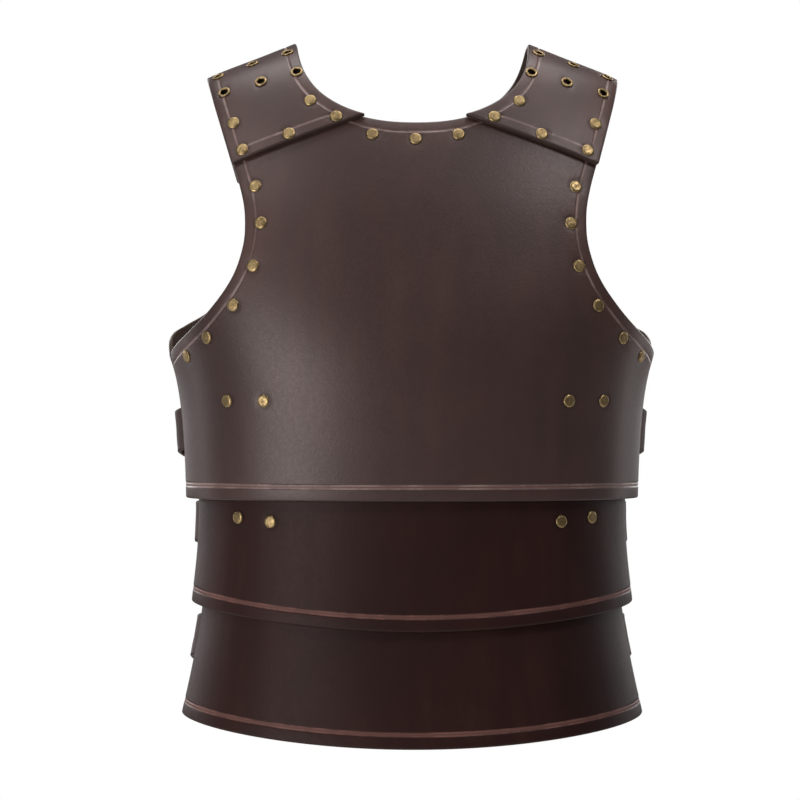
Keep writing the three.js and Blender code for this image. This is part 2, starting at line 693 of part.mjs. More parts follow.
for (const [name, strap] of Object.entries(SIDE_STRAPS)) {
  addPair(`side_strap_${name}`, cut(sideStrap(strap), rivetHoles(name)), strapLeather);
  addPair(`buckle_${name}`, buckle(strap), brass);
  addPair(`chape_${name}`, chape(strap), strapLeather);
}
sideRivets.forEach(({ name, place, through }, i) => {
  addPair(`rivet_${name}_${(i % 2) + 1}`, stand(rivet(through), place), brass);
});
addPair('hanger_front', cut(hanger(HANGERS.front),
  [...rivetHoles('upper'), ...rivetHoles('middle')]), strapLeather);
addPair('hanger_back', hanger(HANGERS.back), strapLeather);

export default cuirass;
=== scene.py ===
"""Dresses a leather cuirass: plates, lames, straps, buckles, rivets and eyelets.

Lengths in the shape code are millimetres from the ridge of the shoulders, with +Z up and the
wearer facing -Y. Settings, nodes and lights are in metres. The outline of each piece of leather
is drawn flat, and the piece is then laid on a body form.
"""
import math

import bpy
import numpy as np
from bpy.props import FloatProperty, FloatVectorProperty, PointerProperty
from bpy.types import Operator, Panel, PropertyGroup
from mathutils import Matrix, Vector
from mathutils.geometry import delaunay_2d_cdt


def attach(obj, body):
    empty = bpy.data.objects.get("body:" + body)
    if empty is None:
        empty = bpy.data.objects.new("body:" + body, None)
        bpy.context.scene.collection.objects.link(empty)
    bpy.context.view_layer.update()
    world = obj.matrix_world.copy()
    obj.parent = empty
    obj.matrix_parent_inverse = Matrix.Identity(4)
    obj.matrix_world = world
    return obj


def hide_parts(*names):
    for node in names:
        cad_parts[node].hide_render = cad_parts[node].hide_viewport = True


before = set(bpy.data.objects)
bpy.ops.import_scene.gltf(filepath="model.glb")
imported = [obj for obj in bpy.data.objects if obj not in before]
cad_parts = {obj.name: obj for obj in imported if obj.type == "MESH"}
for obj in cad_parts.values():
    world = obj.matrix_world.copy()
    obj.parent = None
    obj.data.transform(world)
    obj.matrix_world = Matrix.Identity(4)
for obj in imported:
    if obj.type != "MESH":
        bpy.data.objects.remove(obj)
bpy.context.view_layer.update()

bl_info = {
    "name": "Leather Cuirass",
    "version": (1, 0, 0),
    "blender": (4, 5, 0),
    "location": "View3D > Sidebar > Cuirass",
    "description": "Builds a worn leather cuirass piece by piece",
    "category": "Object",
}

MM = 0.001
SIDES = ("left", "right")

# ---------------------------------------------------------------- body forms

ROUNDNESS = 2.3  # exponent of each section's outline; 2 would be an ellipse
HEIGHT_STEP = 0.5  # spacing of the worked-out sections
CALM = 6.0  # how far the sections are evened out below the shoulders
CALM_FROM, CALM_TO = -25.0, -70.0
BELOW, ABOVE = 60, 12  # how far a form is carried on past its first and last rows
SIDE_STEPS, SIDE_REACH = 240, 170  # of the table of distances from a section's side line


class Form:
    """A stack of rounded sections, each a height, a half width and a half depth."""

    def __init__(self, *rows):
        rows = np.array(sorted(rows), float)
        self.heights = np.arange(rows[0, 0] - BELOW, rows[-1, 0] + ABOVE, HEIGHT_STEP)
        self.half_width = self.curve(rows[:, 0], rows[:, 1])
        self.depth = self.curve(rows[:, 0], rows[:, 2])
        self.rounds = None

    def curve(self, at, value):
        """A smooth curve through one column, by parabolas through each three rows."""
        gap = np.diff(at)
        rise = np.diff(value) / gap
        slope = np.empty(len(at))
        slope[0], slope[-1] = rise[0], rise[-1]
        slope[1:-1] = (rise[:-1] * gap[1:] + rise[1:] * gap[:-1]) / (gap[1:] + gap[:-1])
        within = np.clip(self.heights, at[0], at[-1])
        k = np.clip(np.searchsorted(at, within, side="right") - 1, 0, len(gap) - 1)
        t = (within - at[k]) / gap[k]
        raw = ((2 * t**3 - 3 * t**2 + 1) * value[k] + (3 * t**2 - 2 * t**3) * value[k + 1]
               + gap[k] * ((t**3 - 2 * t**2 + t) * slope[k] + (t**3 - t**2) * slope[k + 1]))
        raw += (self.heights - within) * np.where(self.heights < at[0], slope[0], slope[-1])
        reach = int(3 * CALM / HEIGHT_STEP)
        weights = np.exp(-0.5 * (np.arange(-reach, reach + 1) * HEIGHT_STEP / CALM) ** 2)
        padded = np.pad(raw, reach, mode="reflect", reflect_type="odd")
        even = np.convolve(padded, weights / weights.sum(), mode="valid")
        return mix(raw, even, smooth(self.heights, CALM_FROM, CALM_TO))

    def ring(self, angle, height):
        """Points round the form; the angle is 0 at the front and a quarter turn at the side."""
        sine, cosine = np.sin(angle), np.cos(angle)
        reach = np.abs(sine) ** ROUNDNESS + np.abs(cosine) ** ROUNDNESS
        reach = reach ** (-1 / ROUNDNESS)
        x = np.interp(height, self.heights, self.half_width) * sine * reach
        y = -np.interp(height, self.heights, self.depth) * cosine * reach
        return np.stack([x, y, height + 0 * x], -1)

    def outward(self, angle, height):
        """The direction straight off the form."""
        turn, step = 0.004, HEIGHT_STEP
        around = self.ring(angle + turn, height) - self.ring(angle - turn, height)
        up = self.ring(angle, height + step) - self.ring(angle, height - step)
        return unit(np.cross(around, up))

    def on(self, angle, height, lift):
        """Points that stand off the form, along its own outward direction."""
        lift = np.broadcast_to(lift, np.shape(angle))
        return self.ring(angle, height) + self.outward(angle, height) * lift[..., None]

    def angle_at(self, x, height):
        """The angle at which a section is x wide, in its front half."""
        across = np.abs(x) / np.interp(height, self.heights, self.half_width)
        across = np.minimum(across, 1)
        return np.arctan2(across, (1 - across**ROUNDNESS) ** (1 / ROUNDNESS))

    def edge_angle(self, y, height):
        """The angle at which a section comes within y of the side's widest line."""
        return np.arccos(abs(y) / np.interp(height, self.heights, self.depth))

    def angle_round(self, distance, height):
        """The angle a distance round the section from the side line, towards the back."""
        if self.rounds is None:
            angles = np.linspace(0, math.pi, SIDE_STEPS + 1)
            levels = self.heights[::4]
            reach = np.arange(-SIDE_REACH, SIDE_REACH + 1.0)
            rows = []
            for level in levels:
                length = run_along(self.ring(angles, np.full(len(angles), level)))
                rows.append(np.interp(reach, length - length[SIDE_STEPS // 2], angles))
            self.rounds = (levels, reach, np.array(rows))
        levels, reach, rows = self.rounds
        i = np.clip((height - levels[0]) / (levels[1] - levels[0]), 0, len(levels) - 1.001)
        j = np.clip(distance - reach[0], 0, len(reach) - 1.001)
        i0, j0 = i.astype(int), j.astype(int)
        low = mix(rows[i0, j0], rows[i0, j0 + 1], j - j0)
        high = mix(rows[i0 + 1, j0], rows[i0 + 1, j0 + 1], j - j0)
        return mix(low, high, i - i0)


def mix(a, b, share):
    """A value between two, by its share of the way from the first to the second."""
    return a + (b - a) * share


def smooth(value, start, end):
    """Rises from 0 to 1 between two values, level at both."""
    share = np.clip((value - start) / (end - start), 0, 1)
    return share * share * (3 - 2 * share)


def unit(vectors):
    """The same directions, each of length 1."""
    return vectors / np.linalg.norm(vectors, axis=-1, keepdims=True)


def run_along(points):
    """How far along a line each of its points lies."""
    return np.concatenate([[0], np.cumsum(np.linalg.norm(np.diff(points, axis=0), axis=1))])


def read_off(at, length, line):
    """The spots of a line at the given distances along it."""
    return np.stack([np.interp(at, length, column) for column in line.T], 1)


def full_turn(count):
    """Even angles all the way round, without the last, which is the first again."""
    return np.linspace(0, 2 * math.pi, count + 1)[:-1]


# Height, half width and half depth of the inner face of the leather.
CHEST_FRONT = Form(
    (22, 52.5, 15), (9.8, 82.6, 31), (0, 106.8, 43), (-16.7, 148.1, 55), (-30, 168, 63),
    (-45, 178, 72), (-65, 184, 83), (-100, 188, 98.5), (-140, 187, 110), (-180, 182, 118),
    (-200, 177, 120.5), (-214.5, 172.7, 121.5), (-226.5, 169.4, 121.5), (-240, 167, 121),
    (-281.5, 163.3, 117.5), (-315.5, 162.2, 114))
CHEST_BACK = Form(
    (22, 52.5, 15), (9.8, 82.6, 31), (0, 106.8, 43), (-16.7, 148.1, 56), (-30, 168, 65),
    (-45, 178, 76), (-65, 185, 89), (-100, 191, 105), (-140, 193, 116), (-180, 189, 120),
    (-192, 186, 120), (-211, 177, 118.5), (-226, 172.5, 116.5), (-240, 170, 114),
    (-281.5, 166.5, 104), (-315.5, 165, 98))
WAIST_FRONT = Form((-288, 152.5, 109), (-320, 152.9, 108.6), (-345, 153.5, 109.3),
                   (-391.5, 158.2, 112.5), (-408, 160, 114))
WAIST_BACK = Form((-288, 152.8, 93.4), (-320, 153.2, 92.6), (-345, 153.8, 94),
                  (-391.5, 158.5, 99.5), (-408, 160, 102))
HIP_FRONT = Form((-366, 149.5, 105.6), (-397, 150.5, 107.3), (-435, 157, 112),
                 (-473.5, 165.5, 117.5), (-490, 169.5, 120))
HIP_BACK = Form((-366, 149.8, 91), (-397, 151, 94.6), (-435, 157.5, 103),
                (-473.5, 166, 112), (-490, 170, 116))

# ---------------------------------------------------------------- leather cut flat

EDGE_ROUND = 1.3  # radius of the outer edge of the plates
EDGE_SHARE = 0.38  # the most of a sheet's thickness that its rounded edge takes
EDGE_STEPS = (0.1, 0.32, 0.62, 1.0)  # shares of that radius where the edge is shaped
RIM_SHARE = 0.5  # radius of inner edges and holes' rims, as a share of the outer edge's
RIM_STEPS = (0.4, 1.0)
GROOVE_HALF_WIDTH, GROOVE_DEPTH = 0.8, 0.45
BORDER_AT = 8.3  # the creased line's distance from necks, armholes and straps' edges
HEM_AT = (9.1, 11.3)  # the two creased lines above a hem
HEM_SHARE = 0.8  # depth of a hem's lines, as a share of the border's
HEM_CLEAR = 1.2  # the border's line stops this far above a hem's lines
BAND_DEPTH = 0.12  # how far the leather between a hem's lines is pressed in
CREASE_OVERRUN = 5.0  # how far the cuts beside a crease run on past its ends
CREASE_CLEAR = 3.0  # how far beyond a crease the lattice starts
EDGE_CLEAR = 2.2  # and how far from an edge
SEAT_DEPTH, SEAT_FROM, SEAT_TO = 0.3, 4.4, 7.5  # the hollow under a rivet's cap
SEAT_RINGS = (2.5, 4.4, 5.4, 6.4, 7.5)  # rings of spots that shape the hollow
SEAT_CLEAR = 9.5
WAVE = 0.12  # unevenness of the plates and the lames
FAR = 100.0  # stands for "no such edge"
CHUNK = 800  # points handled at a time
MERGE = 1e-4  # flat spots nearer than this are one

# Distances from a side at which a sheet is cut to shape its creases.
CREASE_CUTS = {
    "border": [BORDER_AT + k * GROOVE_HALF_WIDTH for k in (-2.2, -1.2, -0.6, 0, 0.6, 1.2, 2.2)],
    "hem": [HEM_AT[0] - 2 * GROOVE_HALF_WIDTH,
            *[at + k * GROOVE_HALF_WIDTH for at in HEM_AT for k in (-1, -0.5, 0, 0.5, 1)],
            HEM_AT[1] + 2 * GROOVE_HALF_WIDTH],
}
KEEP_OUT = {"border": BORDER_AT + CREASE_CLEAR, "hem": HEM_AT[1] + CREASE_CLEAR}


def across_and_along(place, spots):
    """How a point of a sheet moves with its two flat coordinates."""
    step = 0.2
    across = place(spots + [step, 0], 0.0) - place(spots - [step, 0], 0.0)
    along = place(spots + [0, step], 0.0) - place(spots - [0, step], 0.0)
    return across / (2 * step), along / (2 * step)


def moved_in(place, line, distance, closed):
    """A line of a sheet's outline, moved inwards over its surface."""
    points = place(line, 0.0)
    if closed:
        tangent = np.roll(points, -1, 0) - np.roll(points, 1, 0)
    else:
        tangent = np.gradient(points, axis=0)
    across, along = across_and_along(place, line)
    inward = unit(np.cross(np.cross(across, along), tangent))
    a, b, c = [(u * v).sum(1) for u, v in ((across, across), (across, along), (along, along))]
    e, f = (inward * across).sum(1), (inward * along).sum(1)
    shift = np.stack([c * e - b * f, a * f - b * e], 1) / (a * c - b * b)[:, None]
    return line + shift * distance


def evenly(place, line, spacing):
    """The same line with points at an even spacing over the surface."""
    length = run_along(place(line, 0.0))
    count = max(int(round(length[-1] / spacing)), 2)
    return read_off(np.linspace(0, length[-1], count + 1), length, line)


def flat_circle(place, centre, radius, count):
    """A circle on a sheet's surface, as spots of its flat pattern."""
    across, along = across_and_along(place, np.array([centre], float))
    turn = full_turn(count)
    size = [np.linalg.norm(across), np.linalg.norm(along)]
    return np.array(centre) + np.stack([np.cos(turn), np.sin(turn)], 1) * radius / size


def drawn_out(line, reach):
    """The same line, made longer at both ends."""
    first, last = unit(line[0] - line[1]), unit(line[-1] - line[-2])
    return np.vstack([line[0] + first * reach, line, line[-1] + last * reach])


def closed_outline(place, sides, corner, spacing):
    """One loop from the sides of a sheet, with its corners rounded."""
    loop = []
    for i, side in enumerate(sides):
        points = place(side, 0.0)
        following = sides[(i + 1) % len(sides)]
        next_points = place(following, 0.0)
        keep = np.linalg.norm(points - points[-1], axis=1) > corner
        keep &= np.linalg.norm(points - points[0], axis=1) > corner
        loop.append(side[keep])
        start = mix(side[-1], side[-2], corner / np.linalg.norm(points[-1] - points[-2]))
        end = mix(following[0], following[1],
                  corner / np.linalg.norm(next_points[1] - next_points[0]))
        t = np.linspace(0, 1, max(int(corner * 3 / spacing) + 3, 4))[:, None]
        loop.append((1 - t) ** 2 * start + 2 * t * (1 - t) * side[-1] + t**2 * end)
    return np.vstack(loop)


def distance_to(points, line, closed=False):
    """How far each point is from a line of straight steps."""
    ends = np.roll(line, -1, 0) if closed else line[1:]
    starts = line if closed else line[:-1]
    steps = ends - starts
    square = np.maximum((steps**2).sum(1), 1e-12)
    least = np.empty(len(points))
    for low in range(0, len(points), CHUNK):
        some = points[low:low + CHUNK, None] - starts
        share = np.clip((some * steps).sum(-1) / square, 0, 1)
        gap = np.linalg.norm(some - share[..., None] * steps, axis=-1)
        least[low:low + CHUNK] = gap.min(1)
    return least


def nearest(points, lines, closed=False):
    """How far each point is from the nearest of several lines."""
    gaps = [distance_to(points, line, closed) for line in lines]
    return np.min([np.full(len(points), FAR), *gaps], axis=0)


def inside(spots, loop):
    """Which spots lie within a closed loop."""
    result = np.zeros(len(spots), bool)
    following = np.roll(loop, -1, 0)
    for (x0, y0), (x1, y1) in zip(loop, following):
        if y0 == y1:
            continue
        between = (y0 > spots[:, 1]) != (y1 > spots[:, 1])
        result ^= between & (spots[:, 0] < mix(x0, x1, (spots[:, 1] - y0) / (y1 - y0)))
    return result


def round_off(distance, radius):
    """How far a face falls away at its rounded edge."""
    short = radius - np.minimum(distance, radius)
    return radius - np.sqrt(np.maximum(radius**2 - short**2, 0))


def groove(distance, centre):
    """How deep a pressed line is, by the distance from it."""
    across = np.abs(distance - centre) / GROOVE_HALF_WIDTH
    return GROOVE_DEPTH * np.maximum(1 - across**2, 0)


class Sheet:
    """A piece of leather: its flat outline, where it is laid, and what is pressed into it."""

    def __init__(self, name, sides, place, thickness, lattice=6.0, spacing=3.0, corner=3.0,
                 holes=(), seats=(), wave=0.0):
        self.name, self.place = name, place
        self.flat, self.edges = [], []
        sides = [(tag, evenly(place, np.array(line, float), spacing)) for tag, line in sides]
        outline = closed_outline(place, [line for _, line in sides], corner, spacing)
        radius = min(EDGE_ROUND, thickness * EDGE_SHARE)
        rim = radius * RIM_SHARE
        self.add_line(outline, True)
        for share in EDGE_STEPS:
            self.add_line(moved_in(place, outline, share * radius, True), True)
        for tag, line in sides:
            for distance in CREASE_CUTS.get(tag, ()):
                crease = moved_in(place, line, distance, False)
                self.add_line(drawn_out(crease, CREASE_OVERRUN), False)
        for hole in holes:
            self.add_line(hole, True)
            for share in RIM_STEPS:
                self.add_line(moved_in(place, hole[::-1], share * rim, True), True)
        self.add_lattice(outline, sides, lattice, holes, seats)
        spots, faces = self.triangles(outline, holes)
        points = place(spots, 0.0)
        edge = distance_to(points, place(outline, 0.0), True)
        hole_edge = nearest(points, [place(hole, 0.0) for hole in holes], True)
        if holes:
            edge = np.minimum(edge, rim + hole_edge)
        border, hem = [nearest(points, [place(line, 0.0) for tag, line in sides if tag == wanted])
                       for wanted in ("border", "hem")]
        border = np.where(hem < HEM_AT[1] + HEM_CLEAR, FAR, border)
        seat = np.full(len(points), FAR)
        for centre in seats:
            seat = np.minimum(seat, self.from_seat(points, centre))
        sunk = np.maximum(groove(hem, HEM_AT[0]), groove(hem, HEM_AT[1])) * HEM_SHARE
        sunk = np.maximum(sunk, groove(border, BORDER_AT))
        in_band = (hem > HEM_AT[0]) & (hem < HEM_AT[1])
        sunk = np.maximum(sunk, np.where(in_band, BAND_DEPTH, 0))
        sunk += SEAT_DEPTH * (1 - smooth(seat, SEAT_FROM, SEAT_TO))
        drop = np.maximum(round_off(edge, radius), round_off(hole_edge, rim))
        rise = round_off(np.minimum(edge, hole_edge), rim)
        bow = wave * waviness(points)
        outer = place(spots, thickness - drop - sunk + bow)
        inner = place(spots, rise + bow)
        count = len(spots)
        start, end = open_edges(faces).T
        wall = [np.stack([end, start, start + count], 1),
                np.stack([end, start + count, end + count], 1)]
        self.points = np.concatenate([outer, inner])
        self.faces = np.concatenate([faces, faces[:, ::-1] + count, *wall])
        both = {"edge_mm": edge, "border_mm": border, "hem_mm": hem, "seat_mm": seat}
        self.attributes = {key: np.concatenate([value, value]) for key, value in both.items()}
        self.attributes["flesh"] = np.concatenate([np.zeros(count), np.ones(count)])

    def add_line(self, line, closed):
        """Keeps a line's spots, and the edges between them that the triangles follow."""
        start, count = len(self.flat), len(line)
        self.flat.extend(map(tuple, line))
        self.edges.extend((start + i, start + i + 1) for i in range(count - 1))
        if closed:
            self.edges.append((start + count - 1, start))

    def from_seat(self, points, centre):
        """How far each point is from a rivet's seat."""
        middle = self.place(np.array([centre], float), 0.0)
        return np.linalg.norm(points - middle, axis=1)

    def add_lattice(self, outline, sides, lattice, holes, seats):
        """Keeps even spots away from the lines, and rings of spots round the rivets' seats."""
        low, high = outline.min(0), outline.max(0)
        steps = [np.arange(a + lattice / 2, b, lattice) for a, b in zip(low, high)]
        even = np.stack(np.meshgrid(*steps), -1).reshape(-1, 2)
        spots = even
        for centre in seats:
            for radius in SEAT_RINGS:
                ring = flat_circle(self.place, centre, radius, 16)
                spots = np.vstack([ring[inside(ring, outline)], spots])
        in_ring = np.arange(len(spots)) < len(spots) - len(even)
        points = self.place(spots, 0.0)
        keep = inside(spots, outline)
        keep &= distance_to(points, self.place(outline, 0.0), True) > min(EDGE_CLEAR, lattice / 2)
        for tag, line in sides:
            if tag in KEEP_OUT:
                keep &= distance_to(points, self.place(line, 0.0)) > KEEP_OUT[tag]
        keep |= in_ring
        for hole in holes:
            keep &= distance_to(points, self.place(hole, 0.0), True) > lattice / 3
            keep &= ~inside(spots, hole)
        for centre in seats:
            keep &= in_ring | (self.from_seat(points, centre) > SEAT_CLEAR)
        self.flat.extend(map(tuple, spots[keep]))

    def triangles(self, outline, holes):
        """The spots in use and the triangles between them, without those in holes."""
        flat = [tuple(map(float, spot)) for spot in self.flat]
        made = delaunay_2d_cdt(flat, self.edges, [], 0, MERGE, False)
        spots = np.array([tuple(vertex) for vertex in made[0]])
        faces = np.array([face for face in made[2] if len(face) == 3])
        centres = spots[faces].mean(1)
        keep = inside(centres, outline)
        for hole in holes:
            keep &= ~inside(centres, hole)
        faces = faces[keep]
        used = np.unique(faces)
        index = np.zeros(len(spots), int)
        index[used] = np.arange(len(used))
        return spots[used], index[faces]


def waviness(points):
    """The slight unevenness of hand-shaped leather."""
    x, y, z = points.T
    return (np.sin(x / 31 + z / 47 + 0.7) + np.sin(x / 53 - z / 29 + 2.1 + y / 60)
            + 0.6 * np.sin(x / 19 + z / 83 + 4)) / 2.6


def open_edges(faces):
    """The edges that only one triangle has, in its own direction."""
    pairs = np.concatenate([faces[:, [0, 1]], faces[:, [1, 2]], faces[:, [2, 0]]])
    held = set(map(tuple, pairs))
    return np.array([pair for pair in map(tuple, pairs) if pair[::-1] not in held])


def make_piece(name, points, faces, material, attributes=None, mirror=False):
    """A mesh object from points in millimetres, turned the right way out."""
    points = np.array(points, float)
    faces = np.array(faces)
    if mirror:
        points = points * [-1, 1, 1]
    corners = points[faces]
    volume = (corners[:, 0] * np.cross(corners[:, 1], corners[:, 2])).sum()
    if volume < 0:
        faces = faces[:, ::-1]
    mesh = bpy.data.meshes.new(name)
    mesh.from_pydata((points * MM).tolist(), [], faces.tolist())
    mesh.shade_smooth()
    for key, values in (attributes or {}).items():
        mesh.attributes.new(key, "FLOAT", "POINT").data.foreach_set("value", values)
    mesh.materials.append(material)
    piece = bpy.data.objects.new(name, mesh)
    bpy.context.scene.collection.objects.link(piece)
    return piece


# ---------------------------------------------------------------- outlines of the pieces

ACROSS = 130.0  # millimetres of the flat pattern for each radian round the body
HEM = -315.5
FRONT_EDGE, BACK_EDGE = -5, 21  # where front and back pieces end at the side, along Y
ARMPIT = -211
GAP = 0.5
INNER_GAP = 0.9
UPPER_LAME = {"top": -288, "side": -391.5, "middle": -407.5}
LOWER_LAME = {"top": -366, "side": -473.5, "middle": -489.5}
NECK_HALF_WIDTH, NECK_TOP = 82.5, 12
NECK_ROUNDNESS = 2.3
NECK_FRONT, NECK_BACK = -47.5, -40
NECK_ENDS = 28  # degrees round the body at which the neck meets the plates' top edges

# The armhole's edge from the shoulder to the armpit: degrees round the body, and height.
ARMHOLE = ((49.3, -42), (44.3, -62), (40.5, -84), (38.3, -104), (37.8, -120), (38.5, -136),
           (41.2, -155), (46, -171.5), (53, -186), (62, -197), (72, -204.5), (81, -209))
BACK_ARMHOLE = ((48.8, -42), (43.8, -62), (40, -84), (37.5, -104), (37, -122), (38.2, -142),
                (42.5, -162), (50, -178), (59, -187.5), (67, -193.5), (73.5, -200.5))


def spline(rows, count):
    """A smooth line through rows of points."""
    rows = np.array(rows, float)
    share = np.linspace(0, len(rows) - 1, count + 1)
    k = np.minimum(share.astype(int), len(rows) - 2)
    t = (share - k)[:, None]
    before, after = rows[np.maximum(k - 1, 0)], rows[np.minimum(k + 2, len(rows) - 1)]
    here, there = rows[k], rows[k + 1]
    pull, push = (there - before) / 2, (after - here) / 2
    return ((2 * here - 2 * there + pull + push) * t**3
            + (3 * there - 3 * here - 2 * pull - push) * t**2 + pull * t + here)


def height_at(form, angle, line_x, low, high):
    """Where a form passes, at each angle, a line given by its distance from the middle."""
    low, high = np.full(len(angle), float(low)), np.full(len(angle), float(high))
    for _ in range(40):
        middle = (low + high) / 2
        beyond = form.ring(angle, middle)[:, 0] > line_x(middle)
        low, high = np.where(beyond, middle, low), np.where(beyond, high, middle)
    return (low + high) / 2


def neck_line(form, bottom, start, end):
    """The neck's edge over a range of angles, as angles and heights."""
    angle = np.radians(np.linspace(start, end, 61))

    def neck_x(z):
        share = np.abs((NECK_TOP - z) / (NECK_TOP - bottom)) ** NECK_ROUNDNESS
        return NECK_HALF_WIDTH * np.maximum(0, 1 - share) ** (1 / NECK_ROUNDNESS)

    return np.stack([angle, height_at(form, angle, neck_x, bottom, NECK_TOP)], 1)


def on_pattern(line):
    """From angles and heights to the flat pattern."""
    return np.array(line) * [ACROSS, 1]


def both_sides(half):
    """A line from the middle to the wearer's left, carried on to the right."""
    return np.vstack([half[::-1] * [-1, 1], half[1:]])


def other_side(line):
    """A line's mirror image, run the other way."""
    return (line * [-1, 1])[::-1]


def laid_on(form, behind):
    """Where a flat pattern lies on the front or the back of a form."""
    def place(spots, lift):
        angle = spots[:, 0] / ACROSS
        return form.on(math.pi - angle if behind else angle, spots[:, 1], lift)
    return place


def side_edge(form, edge, bottom, top):
    """The edge of a front or back piece at the side, on the flat pattern."""
    height = np.linspace(bottom, top, 40)
    return on_pattern(np.stack([form.edge_angle(edge, height), height], 1))


def plate_sides(form, edge, armhole, neck_bottom):
    """The outline of a breast or back plate, one tagged line after another."""
    side = side_edge(form, edge, HEM, ARMPIT)
    rows = [(math.radians(angle), z) for angle, z in armhole]
    opening = on_pattern(spline(rows + [(side[-1, 0] / ACROSS, ARMPIT)], 90))[::-1]
    neck = on_pattern(neck_line(form, neck_bottom, 0, NECK_ENDS))
    top = np.stack([opening[-1], neck[-1]])
    hem = both_sides(np.stack([np.linspace(0, side[0, 0], 60), np.full(60, HEM)], 1))
    return [("hem", hem), ("border", side), ("border", opening), ("plain", top),
            ("border", both_sides(neck)[::-1]), ("plain", other_side(top)),
            ("border", other_side(opening)), ("border", other_side(side))]


def lame_sides(form, edge, size):
    """The outline of a lame, whose hem hangs lower in the middle."""
    across = np.linspace(0, 1, 50)
    bottom = mix(size["side"], size["middle"], np.cos(across * math.pi / 2) ** 2)
    hem = np.stack([across * form.edge_angle(edge, bottom), bottom], 1)
    side = side_edge(form, edge, size["side"], size["top"])
    top = np.stack([np.linspace(side[-1, 0], -side[-1, 0], 100), np.full(100, size["top"])], 1)
    return [("hem", both_sides(on_pattern(hem))), ("plain", side), ("plain", top),
            ("plain", other_side(side))]


# ---------------------------------------------------------------- shoulder straps

STRAP_LENGTH, STRAP_BREADTH = 118.0, 72.0  # half length and breadth of the flat pattern
STRAP_ENDS = ((CHEST_FRONT, NECK_FRONT, 11.3, 41.3), (CHEST_BACK, NECK_BACK, 11.3, 40.2))
STRAP_EDGE_X, STRAP_EDGE_Z, STRAP_SLANT = 129, -77, 0.3
STRAP_EDGE_RANGE = (-110, 10)  # the heights between which a strap's outer edge is looked for


def spots_along(line):
    """A function of the share of a line's length, from angles and heights."""
    steps = np.linalg.norm(np.diff(on_pattern(line), axis=0), axis=1)
    length = np.concatenate([[0], np.cumsum(steps)]) / steps.sum()
    return lambda share: read_off(share, length, line)


def outer_edge_x(z):
    """How far out a shoulder strap's outer edge is at a height."""
    return STRAP_EDGE_X + (z - STRAP_EDGE_Z) * STRAP_SLANT


def shoulder_place():
    """Where the wearer's left shoulder strap lies: over the chest's forms, front to back."""
    edges = []
    for form, neck_bottom, inner, outer in STRAP_ENDS:
        angle = np.radians(np.linspace(outer, 90, 61))
        height = height_at(form, angle, outer_edge_x, *STRAP_EDGE_RANGE)
        edges.append((spots_along(neck_line(form, neck_bottom, inner, 90)),
                      spots_along(np.stack([angle, height], 1))))

    def place(spots, lift):
        lift = np.broadcast_to(lift, len(spots))
        share = 1 - np.abs(spots[:, 1]) / STRAP_LENGTH
        across = spots[:, :1] / STRAP_BREADTH
        base = strap_lift()
        halves = []
        for k, form in enumerate((CHEST_FRONT, CHEST_BACK)):
            spot = mix(edges[k][0](share), edges[k][1](share), across)
            angle = spot[:, 0] if k == 0 else math.pi - spot[:, 0]
            halves.append(form.on(angle, spot[:, 1], base + lift))
        return np.where(spots[:, 1:] >= 0, halves[0], halves[1])
    return place


# ---------------------------------------------------------------- side straps and buckles

# What each side strap joins, its height at the side, its drop towards the back in degrees,
# and where it starts inside the front piece.
SIDE_STRAPS = {
    "upper": {"front": CHEST_FRONT, "back": CHEST_BACK, "z": -263.5, "drop": 13, "start": -97},
    "middle": {"front": WAIST_FRONT, "back": WAIST_BACK, "z": -332, "drop": 8, "start": -90},
    "lower": {"front": HIP_FRONT, "back": HIP_BACK, "z": -414.5, "drop": 16, "start": -112},
}
STRAP_SEAT = 0.8  # a side strap's underside over the back piece
STRAP_WIDTH, STRAP_TIP, STRAP_POINT = 30.0, 130.0, 14.0
BAR, HEEL, FRAME_HALF_WIDTH, WIRE = 60.0, 86.0, 20.0, 2.8
CHAPE_HALF_WIDTH, CHAPE_THICKNESS = 13.0, 2.0
CHAPE_LOOP = 2.4  # inner radius of the fold round a buckle's heel bar
LEG_GAP = 0.3  # between a chape's two legs
CHAPE_SLOT = (30, 0, 9.5, 2.3)  # along, across, half length and radius
STRAP_HOLES = ((BAR + 12, 0, 8.5, 2.2), (BAR + 40, 0, 2, 2), (BAR - 20, 0, 2, 2))
FRAME_CORNER = 4.5
FRAME_STEP = 2.5  # the longest step along a frame's bars
FRAME_SWELL = 0.12  # how much thicker its heel and its tip are than its sides
PRONG_EYE = 2.2  # radius of the prong's turn round the heel bar
PRONG_RUN = ((HEEL - 6, 2.5), (HEEL - 14, 2.55), (BAR + 4, 2.4), (BAR, 2.15), (BAR - 3.2, 1.7))
PRONG_WIDTHS, PRONG_HEIGHTS = (1.5, 0.85), (0.8, 0.75)  # halves, from heel to tip
TUBE_SIDES = 12

# How a side strap climbs over the back piece: under the buckle's bar, then over its heel.
CLIMB = ((0, 0), (62, 0), (80, 9.9), (92, 9.9), (103, 5.2), (116, 4.8), (124, 0.8), (140, 0))


def climb_at(s):
    """How high a side strap has climbed at each distance along it."""
    rise = np.full(len(s), float(CLIMB[0][1]))
    for (start, low), (end, high) in zip(CLIMB, CLIMB[1:]):
        rise = np.where(s >= start, mix(low, high, smooth(s, start, end)), rise)
    return rise


